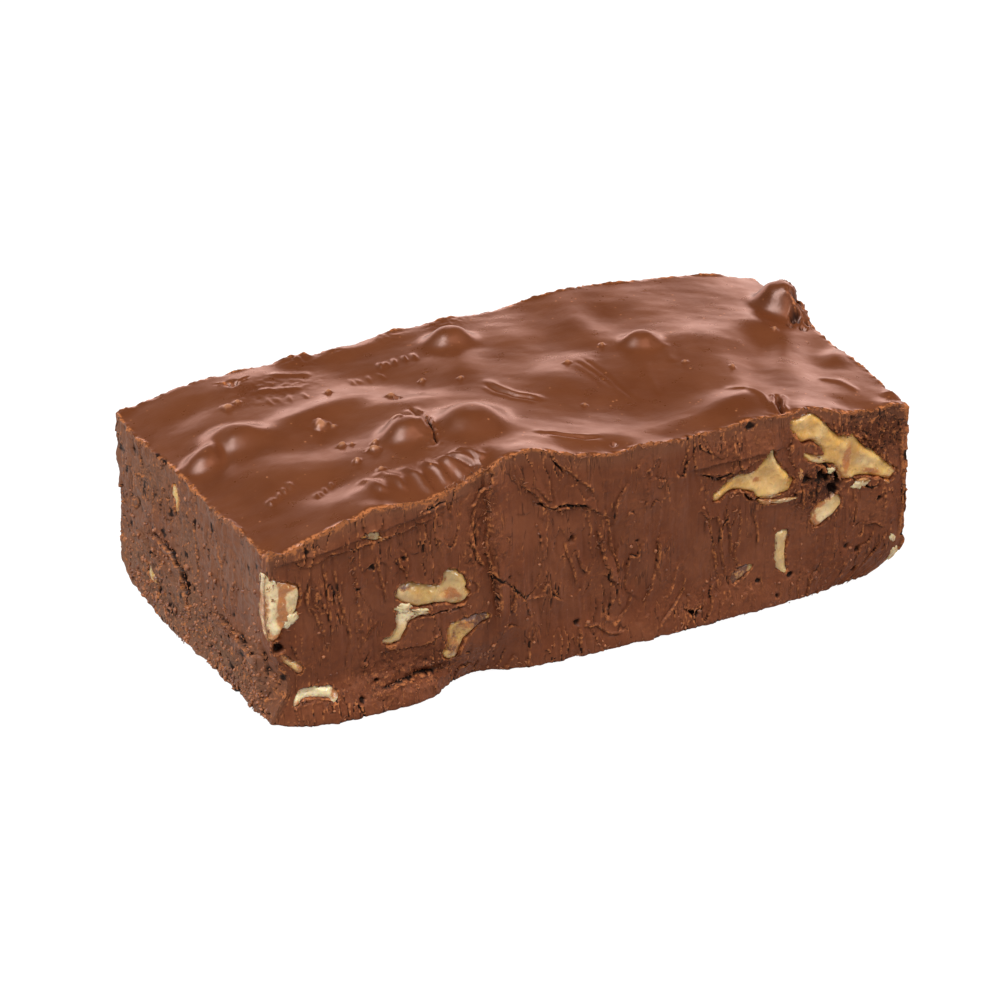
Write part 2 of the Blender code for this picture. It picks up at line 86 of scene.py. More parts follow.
# Walnut pieces under the skin, as (x, y, radius along, radius across, turn, height)
LUMPS = (
    (-51.4, 6.8, 3, 2.7, 0, 1.9),
    (-45.6, 9.2, 4.3, 3.5, -30, 2),
    (-2.8, 19.8, 3.6, 3.1, -20, 2.5),
    (23.3, 4.2, 2.9, 2.7, -27, 1.9),
    (-23.9, -7, 3.4, 3.3, -40, 2.4),
    (-14, -10, 4.9, 4.9, -27, 2.7),
    (52.3, 11.6, 2.9, 4.4, 10, 5),
)
LUMP_STEEPNESS = 1.5

# Broad swells and hollows of the skin between them, in the same terms, placed one by one on the photo
SWELLS = (
    # Round the lumps at the left end, and the hollow with ripples in front of them
    (-47, 22, 5, 3, 10, -0.5),
    (-36, 25, 6, 4, 20, 0.6),
    (-48.4, 6.4, 3.5, 1.2, 75, -0.6),
    (-40, 5, 4, 3, -30, 0.5),
    (-46, -4, 6, 5, 0, 0.5),
    (-40, -14, 5, 4, 20, -1),
    (-35, -20, 7, 2.5, 5, 0.5),
    # The crest and the bowl in front of it, then the valley from the back edge down to the middle bump
    (-32, 9, 8, 3, 10, 1),
    (-33, -1, 7, 5, 10, -0.8),
    (-18, 13, 12, 5, -60, -1),
    (-17, 3, 7, 3, -15, 0.4),
    (-16, 27, 8, 2, -5, 0.4),
    (-5, 12, 7, 3, 65, 0.6),
    # The rises and hollows right of the middle
    (6, 16, 8, 4, 75, 0.6),
    (12, 3, 4, 3, -70, 0.5),
    (6, -1, 6, 4.5, 70, 0.9),
    (13, -16, 20, 10, 0, -1.4),
    (18, 17, 9, 3, 75, 0.5),
    (23, 15, 6, 4, 90, -0.5),
    (28, -19, 6, 3, 10, 1),
    # The shelf before the knob, the hollow before that, and the right end's slopes
    (34, 3, 7, 5, 0, 0.7),
    (36, -10, 8, 3, 75, -0.6),
    (42.5, -1, 8, 3, 55, -1.1),
    (46, 5, 4, 3, 90, 1),
    (48, -9, 10, 3, 62, -0.9),
    (52.5, -7, 3, 2.5, 60, 0.8),
)

# Steps left where the cut folded the fudge over itself, as (from, height, to, height, step)
FRONT_STEPS = (
    (-19.5, 37, -18, 8, 0.8),
    (1, 21, 3.5, 9, -0.5),
    (16, 27, 31, 27.5, 0.5),
    (-54, 27, -24, 31, 0.35),
)
BACK_STEPS = (
    (-40, 30, -36, 7, 0.7),
    (-30, 12, -8, 20, -0.5),
    (12, 33, 8, 10, 0.6),
    (24, 24, 46, 19, 0.5),
)
LEFT_STEPS = ((24, 11, 4, 8.5, 0.7), (4, 9, -23, 10.5, 0.5))
RIGHT_STEPS = ((-20, 12, 2, 15, 0.6), (8, 22, 22, 10, -0.5))
STEP_REACH = 5

# How finely the block's surface is divided along its length, width and height
DIVISIONS = (480, 204, 200)
# How many points along each axis of the block tell how far it reaches
FRAME_SAMPLES = 60
# How deep a face's fine relief reaches
FINE_REACH = 1
# How far a mark's relief reaches from its line, and a scatter of seeds for each face's unevenness
MARK_REACH = 3.4
FRONT_SEED = 200
TOP_SEED = 600
RIM_SEED = 700
RIM_WIDTH = 0.4

# Marks in the front cut face, as (kind, size, points as (x, z)): a flap stands out on the left of its line
FRONT_MARKS = (
    ("flap", 0.7, ((-26, 33.1), (-21.8, 34.2), (-19.1, 34.9), (-18.2, 33.9), (-18.9, 31.3), (-19.4, 28.6))),
    ("flap", 0.8, ((-19, 28.8), (-19.3, 24.7), (-19.9, 21.7), (-18.7, 17.6), (-18.1, 13.4), (-17.9, 9))),
    ("flap", 0.5, (
        (-14.4, 32.1), (-11.9, 29.3), (-9.5, 26.7), (-7.1, 25.3), (-4.5, 25.3), (-1.7, 24.5), (1.3, 22),
    )),
    ("crack", 0.8, ((-11.7, 27.5), (-10.1, 27.1), (-8.4, 25.9), (-5.4, 25.7), (-2.9, 25.1), (-1.5, 24.7))),
    ("flap", 0.35, ((-8.6, 35.2), (-7, 32.7), (-4.5, 30.2), (-1.8, 27.7), (-1.5, 24.9))),
    ("crack", 0.7, ((-8.8, 35), (-7.3, 33), (-6.3, 30.8))),
    ("flap", 0.6, ((-0.9, 22.4), (-0.2, 17.9), (0.6, 15.2), (1.8, 11.6), (3.7, 9.2))),
    ("crack", 0.45, ((-19.8, 18.1), (-16.2, 15.2), (-13.4, 12.2), (-9.9, 14.5))),
    ("flap", 0.4, ((10.1, 18.5), (9.9, 13), (8.6, 8.1), (6.8, 5.2))),
    ("ridge", 0.4, ((13.7, 11.9), (13.1, 9.3), (12.1, 7), (10.5, 5.3))),
    ("flap", 0.5, ((16.2, 26.5), (20.7, 24.2), (24.9, 25.5), (31, 27.3))),
    ("crack", 0.6, ((16.7, 26.2), (20.3, 24.6), (23.4, 25.2))),
    ("flap", -0.5, ((18.3, 20.5), (19.7, 13.9), (20.9, 8.4))),
    ("flap", 0.3, ((24, 19.6), (24.7, 14.7), (23.9, 10.7), (24.5, 6.7))),
    ("flap", 0.4, (
        (-53, 26.3), (-49.9, 25.9), (-45.8, 27.2), (-40.9, 27.3), (-34.1, 28.2), (-29.2, 28.9), (-24.1, 30.8),
    )),
    ("crack", 0.6, ((-31, 31), (-28.7, 31), (-25.8, 31.4))),
    ("flap", 0.9, ((-25.7, 2.9), (-28.3, 3.6), (-32.8, 3.8), (-37, 3.4), (-39.5, 2.8))),
    ("flap", 0.5, ((-38.2, 8.5), (-34.7, 8.7), (-31.1, 8.3), (-27.8, 8.8))),
    ("ridge", 0.3, ((-15.4, 15), (-15.2, 12.2), (-15.6, 9.6))),
    ("ridge", 0.3, ((-14.2, 12.5), (-11.7, 11.8), (-9.4, 12))),
    ("crack", 0.5, ((-21.2, 26.9), (-21.1, 24.1), (-21.7, 21.9))),
    ("ridge", 0.35, ((-22.1, 25.7), (-21.7, 23.4), (-22.8, 20.8))),
    ("crack", 0.45, ((38.4, 24.6), (40.3, 21.6), (41.4, 18.8))),
    ("crack", 0.5, ((33.3, 18), (30.1, 18.6), (27.4, 18.6))),
    ("crack", 0.55, ((45.4, 18.4), (48.1, 17.2), (51, 16.7))),
    ("flap", 0.4, ((33.5, 30.1), (32.8, 26.2), (34, 22.2), (34.5, 16.1))),
    ("crack", 0.4, ((-45.3, 22.2), (-45, 17.8), (-44.5, 14.5))),
    ("flap", 0.25, ((-42.1, 26.2), (-41.5, 20.1), (-41.1, 14.2), (-40.5, 9.2))),
    ("flap", 0.25, ((-48.8, 24.2), (-47.9, 18.2), (-46.7, 12.3))),
    ("ridge", 0.3, ((1, 8), (0.5, 5.5), (2, 4), (3.9, 4.8))),
    ("crack", 0.7, ((13.9, 3.3), (16, 2.9), (18.1, 3.3))),
    ("crack", 0.9, ((22.5, 20.9), (24.6, 21.2), (26.4, 19.8), (28.5, 18.7), (30.9, 18.4), (33.5, 18.6))),
    ("crack", 0.8, ((-33.1, 14.1), (-29.6, 13.3), (-26.2, 13), (-22.7, 13))),
    ("crack", 0.7, ((-51.9, 3.8), (-49.2, 4), (-47.1, 3.4))),
    ("crack", 0.6, ((43.8, 20.1), (46.6, 17.8), (49.1, 16.9))),
)

# Thin curled lips where the knife dragged the front face, as points (x, z), and their height
DRAG_SIZE = 0.34
DRAG_LINES = (
    ((-50, 23), (-49.5, 20.2), (-48.5, 18.1), (-47.8, 15.6), (-47.5, 14.1)),
    ((-47.5, 27.4), (-46.6, 23.2), (-46.4, 19.9), (-46.1, 17.2), (-46.6, 14.9)),
    ((-45.8, 25.6), (-44.9, 22.8), (-44.4, 19.4), (-43.6, 16.5), (-43.2, 14.4), (-42.4, 12.2)),
    ((-43.6, 18.5), (-44.1, 16.6), (-43.6, 14.5)),
    ((-38.6, 26.2), (-37.9, 23), (-37, 19.4), (-36.5, 16.3)),
    ((-34.7, 25.4), (-34.2, 22.3), (-33.2, 21.2), (-32.8, 22.7), (-33.2, 24.4), (-34.4, 25.7)),
    ((-30.2, 25.7), (-30.5, 24.2), (-30.2, 22.4)),
    ((-23.1, 23.9), (-21.7, 22.3), (-21.5, 20.7), (-20.1, 19.1)),
    ((-19.2, 33.8), (-18.9, 31.7), (-20.2, 31), (-21.2, 29.5), (-22.4, 28.7)),
    ((-21, 29.1), (-21.7, 27), (-21.4, 24.1)),
    ((-18.5, 15.7), (-18, 13.6), (-17.7, 11.3)),
    ((-22.1, 17.3), (-21.3, 16.1), (-21.8, 14.9)),
    ((-49.2, 23.8), (-49.7, 20.9), (-49.3, 18.6), (-48.9, 17.2)),
    ((-28.6, 25.9), (-27.6, 25.1), (-27.9, 23.8)),
    ((-40.7, 11), (-39.3, 13.1), (-37.9, 14.3)),
    ((-30.7, 7.6), (-28.8, 9.2), (-27.2, 9.5)),
    ((-52.7, 14.1), (-51.8, 11.6), (-50.8, 9.6)),
    ((-22.5, 24.9), (-21.9, 22.4), (-20.8, 20.2), (-20.1, 18.9)),
    ((-15.4, 15.7), (-15.2, 13.6), (-16, 11.2)),
    ((-6.5, 20.8), (-6, 17.8), (-4.8, 14.6), (-4.3, 11.2)),
    ((0.2, 24.3), (1, 20.9), (1.4, 17.3), (2.9, 13.8), (2.9, 10.4)),
    ((9.6, 17.4), (10.1, 14.6), (9.8, 11.7), (10.5, 8.8)),
    ((15.2, 9.6), (14.7, 6.5), (12.4, 4.3), (10.4, 2.6), (9.2, 1)),
    ((5.5, 8.5), (4.6, 6.1), (2.9, 4.5)),
    ((18.4, 20.6), (19.2, 16.5), (20, 12), (20.6, 7.4)),
    ((20.1, 19.7), (21, 16.2), (21.2, 12.2), (21.8, 9.3), (22.4, 6.5)),
    ((21.6, 19.3), (22.6, 15.6), (23.2, 12.2), (23.1, 9.5)),
    ((26.8, 18.1), (27.3, 15.4), (27.8, 12.9), (27.7, 10.7)),
    ((35.2, 21.5), (35.4, 17.7), (35.8, 14.9)),
    ((45.3, 17.4), (45.9, 13.3), (45.6, 10.7)),
    ((14.1, 5.9), (14.9, 7.3), (15.1, 9.4)),
    ((53.5, 27.8), (54.1, 21), (54.6, 15.5), (54.3, 10.2), (53.9, 6.2)),
    ((42.3, 27.7), (44, 26.5), (47, 25.6), (49.7, 24.5)),
    ((47.4, 10.5), (49.7, 10.3), (51.4, 9.2)),
    ((-3.4, 4.6), (-1, 4.6), (1.2, 2.5), (3.6, 2.2)),
)

# Air holes in the front cut face, as (x, z, radius, depth)
FRONT_PITS = (
    (-4.9, 20.2, 1, 0.9), (-16.3, 16.6, 0.45, 0.7), (-4.1, 5.7, 0.9, 0.6), (-29.3, 31.2, 0.6, 0.7),
    (-41.3, 20.2, 0.5, 0.8), (-38.8, 4.6, 0.6, 0.9), (-41.7, 2.6, 0.6, 0.9), (16.1, 2.7, 0.9, 0.9),
    (33.7, 4.8, 0.8, 0.7), (47, 2.9, 0.7, 0.7), (25.7, 32.2, 1.3, 0.9), (44.6, 29.6, 0.8, 0.7),
    (36.2, 21, 1.1, 0.9), (38.9, 21, 1.4, 1.4), (-39.1, 23.5, 0.8, 0.4), (-49.8, 28.5, 0.9, 0.3),
    (46.4, 6.2, 0.9, 0.6), (44.2, 7.5, 0.7, 0.6), (6.2, 17.2, 0.4, 0.5), (-33.5, 23.5, 0.9, 0.5),
    (28, 5.2, 0.7, 0.4), (50.1, 14.7, 0.7, 0.6), (31.1, 1.7, 0.6, 0.5), (42.6, 19.7, 1.8, 2.2),
    (41.2, 18.2, 1.3, 1.4), (40.1, 20.4, 1, 1.2), (-54.5, 13.6, 1.2, 1.2),
)

LEFT_MARKS = (
    ("flap", 1.3, ((21, 11.6), (16.5, 13.6), (10.5, 13.6), (6.8, 11.6), (4.6, 8.6), (3.8, 5.4))),
    ("crack", 0.9, ((6, 11.4), (4.6, 9.2), (3.4, 6.2))),
    ("flap", 1, ((-3.5, 9.2), (-8.5, 10.6), (-13.5, 10.4), (-19, 9.6), (-23.5, 10.6))),
    ("flap", -0.4, ((29, 21.6), (22, 21.4), (18, 22.4))),
    ("crack", 0.4, ((18, 25), (16.6, 21), (16.8, 17))),
    ("flap", 0.3, ((2, 24), (1, 18), (0.4, 12))),
    ("flap", 0.25, ((-8, 25), (-9, 18), (-9.6, 12))),
)
LEFT_PITS = (
    (11.3, 18.1, 0.9, 1.2), (5.1, 10.4, 1.1, 1.3), (9, 20.6, 0.6, 0.6), (24, 24.6, 0.8, 0.6),
    (-18, 4.4, 1, 0.7), (-4, 3.4, 0.8, 0.6), (14, 5, 0.9, 0.6),
)
BACK_MARKS = (
    ("flap", 0.6, ((-40, 31), (-38.6, 24), (-37.4, 16), (-36, 8))),
    ("flap", 0.5, ((-30, 12), (-22, 14.6), (-14, 18.6), (-8, 20))),
    ("crack", 0.8, ((-31, 11.6), (-26, 13.4), (-21, 14.4))),
    ("flap", 0.5, ((12, 33), (10.6, 25), (9.4, 17), (8, 10))),
    ("flap", 0.5, ((24, 24), (31, 23), (38, 20.6), (46, 19))),
    ("crack", 0.7, ((30, 8), (34, 6.6), (39, 7.4))),
    ("ridge", 0.35, ((0, 12), (1.4, 8.6), (0.6, 5))),
    ("flap", 0.35, ((-52, 26), (-44, 27.6), (-34, 28))),
    ("crack", 0.6, ((-14, 8), (-11, 5.6), (-8, 6.2))),
)
BACK_PITS = (
    (-46, 9, 0.9, 0.9), (-18, 25, 0.7, 0.8), (3, 18, 1, 1), (20, 12, 0.6, 0.8), (39, 28, 1.2, 0.9),
    (16, 4, 0.9, 0.8), (-33, 22, 0.6, 0.7),
)
RIGHT_MARKS = (
    ("flap", 0.6, ((-20, 12), (-12, 12.4), (-4, 14), (2, 15))),
    ("flap", 0.5, ((8, 22), (12, 19), (17, 14.6), (22, 10))),
    ("crack", 0.7, ((-2, 26), (0.6, 22), (0, 18))),
    ("flap", 0.3, ((-10, 27), (-9, 20), (-8, 16))),
)
RIGHT_PITS = ((4, 9, 0.9, 0.9), (-18, 24, 0.7, 0.8), (18, 24, 1, 0.9), (-8, 6, 0.7, 0.7))

# Which way the skin's faint flow lines run, in degrees from the length
FLOW_TURN = -27

# Marks in the skin, as (kind, size, points as (x, y))
TOP_MARKS = (
    ("crease", 0.5, ((-19.6, 0.5), (-19.6, -3), (-20.4, -6.5), (-21, -10))),
    ("crack", 1.4, ((-18.8, -2.6), (-19.8, -5), (-20, -7.4), (-20.8, -11), (-22, -14.5))),
    ("crack", 1.2, ((-19.2, -5.6), (-20.2, -6.2), (-21.4, -6))),
    ("fold", 0.35, ((-4.7, 4), (-4.4, 0.6), (-3.4, -2.6), (-1.2, -5.2), (1.4, -6.7))),
    ("crease", 0.3, ((-5.6, 2.4), (-5, -1), (-3.4, -4), (-0.6, -6.8))),
    ("fold", 0.25, ((-7.4, -16.4), (-4.6, -18.6), (-1.6, -20.4), (1, -21.2))),
    ("crease", 0.3, ((-6, -18.2), (-3.4, -20), (-0.6, -21.4), (2.6, -21.6))),
    ("crease", 0.07, ((12.1, 4.7), (12.8, -0.6), (13.4, -6), (14, -12.3))),
    ("crease", 0.07, ((10.6, 3.4), (11.8, -1.6), (12.6, -7))),
    ("fold", 0.12, ((21.6, -0.4), (19.8, -3.6), (18.6, -8), (17.5, -12.3))),
    ("fold", 0.12, ((26.4, 2.4), (25.4, -1), (24.6, -4))),
    ("crease", 0.9, ((31.6, -26), (32.4, -23.4), (33.8, -21), (34.4, -19))),
    ("fold", 0.4, ((27.6, -14.4), (30.6, -16.4), (31.6, -20), (30.6, -25))),
    ("fold", 0.5, ((-36, -15.6), (-35, -19), (-34.4, -22.6))),
    ("fold", 0.45, ((-33, -15), (-31.8, -19), (-31.4, -23.4))),
    ("fold", 0.5, ((-29.6, -16.4), (-28.6, -21), (-28.2, -26))),
    ("fold", 0.5, ((-26.4, -16.6), (-25.4, -21.6), (-24.7, -26))),
    ("fold", 0.45, ((-24.2, -18.2), (-22.8, -22.4), (-21.6, -25.9))),
    ("fold", 0.5, ((-21, -17.6), (-19.4, -20.6), (-18, -24))),
    ("crease", 0.5, ((-23, -18.4), (-21.4, -21.6), (-20, -24.8))),
    ("fold", 0.25, ((-36, 21.4), (-32.6, 20), (-28.6, 18.4))),
    ("fold", 0.25, ((-32, 25.6), (-28.6, 24.2), (-25.2, 23))),
    ("crack", 0.9, ((-40.4, 27.2), (-38.4, 26.2), (-36.4, 25.8), (-34.6, 26.6))),
    ("fold", 0.25, ((45.6, -13), (48, -16), (49.6, -20))),
    ("ridge", 0.5, ((52.4, 14.6), (53.8, 12.4), (54.5, 9.8), (54.5, 7.2))),
    ("ridge", 0.35, ((51.6, 9.6), (52.6, 8.2), (53, 6.6))),
)

# Rows of small ripples in the skin, as (from x, y, to x, y, count, length, height), and their turn
RIPPLE_TURN = 86
RIPPLES = (
    (-16, 19.2, -9.6, 18.2, 5, 1.5, 0.45),
    (-22, 17.2, -16, 16, 4, 1.8, 0.2),
    (-49.4, -12.6, -44.4, -10.2, 5, 1.3, 0.4),
    (-43.2, -15.4, -38.8, -12.8, 4, 1.3, 0.36),
    (-36.4, 17, -29.4, 15.6, 4, 2, 0.16),
)

# Bubbles and crumbs in the skin, as (x, y, radius, height)
BUBBLES = (
    (-32.6, 4.5, 1.1, 0.94), (-31, 3.4, 0.42, 0.42), (-32.7, -2.9, 0.68, 0.68), (-31.4, -3.8, 0.38, 0.42),
    (-30, -8.4, 0.77, 0.77), (-28.8, -6.6, 0.51, 0.59), (-33.4, -10, 0.59, 0.68),
    (-32.1, -15.1, 0.59, 0.68), (-41.7, 19.1, 0.85, 0.59), (-39.8, 19.4, 0.51, 0.51),
    (9.6, 3.2, 0.51, 0.51), (5.6, -9.8, 0.34, 0.42), (-26.6, 14.6, 0.59, 0.59), (17.4, 6.4, 0.42, 0.51),
    (-12.6, 10, 0.42, 0.51), (33, -8, 0.42, 0.51), (-19.4, 7.2, 0.77, 0.68), (-23.9, -3.6, 1.27, 1.02),
    (-22.6, -2.2, 0.77, 0.85), (46.8, 3.2, 0.51, 0.51), (26.4, -4.4, 0.42, 0.42), (-8, 6, 0.42, 0.42),
)

TOP_PITS = (
    (-19, 5.6, 1.1, 1.3), (-38, 25.8, 1.4, 1.3), (33.4, -20.4, 0.8, 1), (3, -23.6, 0.7, 0.8),
    (52.4, 6.6, 1.5, 1.6), (50.8, 5.2, 1, 1.2), (52.6, 4.2, 1, 1.1), (53.8, 8.8, 1.4, 2),
    (54.2, 5.6, 0.9, 0.9),
)

# The torn side of the knob at the right end, as (y, z, radius, depth)
KNOB_PITS = (
    (5.4, 33.6, 1.1, 1.5), (3.4, 32.6, 0.8, 1.1), (7.8, 34.6, 1.5, 1.8), (9.8, 33, 1.2, 1.2),
    (2.2, 31.2, 0.7, 0.8),
)

# Walnut pieces in the front cut face: depth, then the shares that are smeared with fudge, covered by
# brown skin, cream and grey, and the outline as (x, z)
FRONT_WALNUTS = {
    "walnut_right_large": (8, 0.05, 0.25, 0, 0, (
        (32.8, 31.2), (33.2, 31.9), (36, 32.3), (37.4, 32), (42.1, 27.3), (45, 26.9), (46, 26),
        (46.8, 24.7), (50, 22.3), (51.4, 20.8), (52.8, 19.8), (53.5, 18.9), (53, 17.9), (52, 17),
        (50, 18.1), (46.7, 18.9), (45.1, 18.8), (43.8, 19), (42.6, 19.7), (41.4, 22.1), (38.2, 22.8),
        (36.3, 23.7), (35.2, 24.9), (35.1, 26.1), (38.2, 24.7), (39.2, 24.7), (38.8, 25.6), (36.6, 27.2),
        (35.2, 27.2), (34.3, 27.8), (33, 29.8),
    )),
    "walnut_right_peaked": (7, 0.1, 0.15, 0, 0.05, (
        (19.3, 21.5), (19.5, 22.1), (21.5, 23.3), (22.5, 24.3), (23.9, 24.6), (25.7, 24.5), (27, 24.8),
        (28.5, 26.7), (28.8, 27.9), (29.2, 28.2), (30.2, 27.4), (30.3, 26.3), (31, 25.1), (33.8, 21.6),
        (33.6, 20.3), (33, 19.4), (31.8, 19.3), (28.2, 19.3), (27.1, 19.6), (26.5, 20.6), (23.9, 21.6),
        (22.7, 21.6), (20.8, 20.4), (19.6, 20.6),
    )),
    "walnut_right_skinned": (5, 0.1, 0.9, 0.3, 0.3, (
        (37, 14.9), (38.3, 16.7), (42.2, 17.3), (43.1, 16.3), (43.1, 14.8), (38.7, 11.9), (37.8, 12.1),
        (37, 13.3),
    )),
    "walnut_right_sliver": (4, 0.25, 0, 0.2, 0.8, (
        (30.6, 12.5), (31.6, 13.1), (33, 12.9), (33.3, 11.9), (32.8, 9.1), (33.3, 6), (32.9, 5),
        (32.1, 5.5), (31.3, 6.6), (30.8, 8.2), (31, 11.3),
    )),
    "walnut_right_buried": (3, 0.5, 0.2, 0, 1, (
        (23.2, 6.1), (23.4, 7.1), (24.6, 7.9), (25.9, 8.3), (27.1, 8), (26.9, 7.2), (24.6, 5.8),
        (23.6, 5.4),
    )),
    "walnut_centre_waisted": (7, 0.12, 0.2, 0.15, 0.5, (
        (-35.4, 18.1), (-34.5, 19.1), (-33.1, 19.5), (-31.3, 19.2), (-27.9, 18), (-27.2, 18.5),
        (-27.2, 19.6), (-26.1, 20.1), (-24.6, 19.6), (-23.5, 18.6), (-22.9, 17.1), (-23.1, 16.2),
        (-22.3, 15.7), (-22.2, 15), (-23.9, 13.7), (-25.2, 13.6), (-26.6, 14.3), (-28.2, 14.7),
        (-31.7, 14.9), (-34.9, 16.8),
    )),
    "walnut_centre_crumbled": (4, 0.3, 0.1, 0.3, 0.6, (
        (-35.5, 15.6), (-34.6, 15.7), (-31.4, 14.2), (-29.8, 13.9), (-30.1, 13.4), (-32.7, 12.6),
        (-34.1, 10.4), (-35, 9.6), (-36.3, 9.4), (-37.5, 10.2), (-37.3, 10.8), (-35.9, 11.1), (-35, 12.3),
        (-35, 14.8),
    )),
    "walnut_centre_smeared": (5, 0.42, 0.4, 0, 0.3, (
        (-26.7, 10), (-26.1, 10.9), (-22.2, 11.8), (-20.2, 11.6), (-19.1, 10.8), (-19.4, 10),
        (-21.2, 9.4), (-23.5, 7.5), (-24.6, 4.7), (-25.9, 4.2), (-27.3, 5.2), (-27.6, 6.2), (-27, 7.2),
        (-26.7, 8.7),
    )),
    "walnut_corner_tall": (3.6, 0.2, 0.4, 0.6, 0.1, (
        (-55.9, 24.7), (-55.1, 25.3), (-50.8, 23.4), (-50.6, 21.6), (-50.8, 19.9), (-52.1, 17.2),
        (-53.4, 16.6), (-54.3, 15.1), (-55.4, 14.6), (-55.9, 15.6),
    )),
    "walnut_corner_small": (3.2, 0.25, 0.4, 0.4, 0.1, (
        (-54.8, 12.2), (-54, 12.4), (-52.8, 11.2), (-51.3, 10.4), (-50.6, 9.4), (-51.1, 8.5),
        (-52.2, 8.8), (-53.4, 9.7), (-54.5, 10.9),
    )),
    "walnut_foot_shard": (3.6, 0, 0, 1.1, 0, (
        (-53.2, 4.8), (-51.9, 5.9), (-50.1, 6.2), (-46.7, 5.7), (-45.4, 4.8), (-45.4, 3.6), (-46.3, 3),
        (-47, 3.9), (-50, 4.4), (-51.3, 4), (-52.7, 3.1), (-53.3, 3.6),
    )),
    "walnut_under_rim": (2.6, 0.45, 0.1, 0, 1, (
        (-41.2, 29.1), (-38.7, 29.5), (-37.7, 28.9), (-37.3, 28), (-38.1, 27.6), (-39.6, 28.1),
    )),
}

# Walnut pieces in the other sides: depth, the same shares, place along and up the face, size, turn and seed
OTHER_WALNUTS = {
    "back": {
        "walnut_back_left": (6, 0.15, 0.2, 0.1, 0.1, (-42, 19), (12, 6), 25, 101),
        "walnut_back_low": (5, 0.3, 0.3, 0, 0.5, (-27, 8), (8, 4.4), -15, 102),
        "walnut_back_middle": (7, 0.1, 0.2, 0.2, 0.1, (-6, 23), (13, 6.6), -35, 103),
        "walnut_back_shard": (4, 0.1, 0.3, 0.6, 0.1, (11, 10), (7, 3.2), 60, 104),
        "walnut_back_right": (6, 0.15, 0.25, 0.1, 0.3, (30, 19.5), (11, 7), 15, 105),
        "walnut_back_corner": (4, 0.35, 0.4, 0, 0.6, (45, 9), (6, 4), -50, 106),
    },
    "left": {
        "walnut_left_chip": (3.6, 0.3, 0.9, 0, 0.6, (8.4, 23.6), (5, 3), 70, 107),
        "walnut_left_low": (4, 0.55, 0.4, 0, 0.8, (18, 6), (6, 3), 10, 108),
    },
    "right": {
        "walnut_end_front": (5, 0.15, 0.3, 0.1, 0.2, (-14, 18), (9, 5.4), 30, 109),
        "walnut_end_back": (5, 0.15, 0.4, 0.3, 0.1, (13, 13), (8, 5), -25, 110),
    },
}
OUTLINE_POINTS = 9
OUTLINE_SPACING = 0.26
KERNEL_SPACING = 0.34
KERNEL_SEED = 900
WOBBLE = 0.16
WOBBLE_SEED = 800

# How far a walnut piece and a flake stand out of the face they are in
KERNEL_PROUD = 0.05
FLAKE_PROUD = 0.02

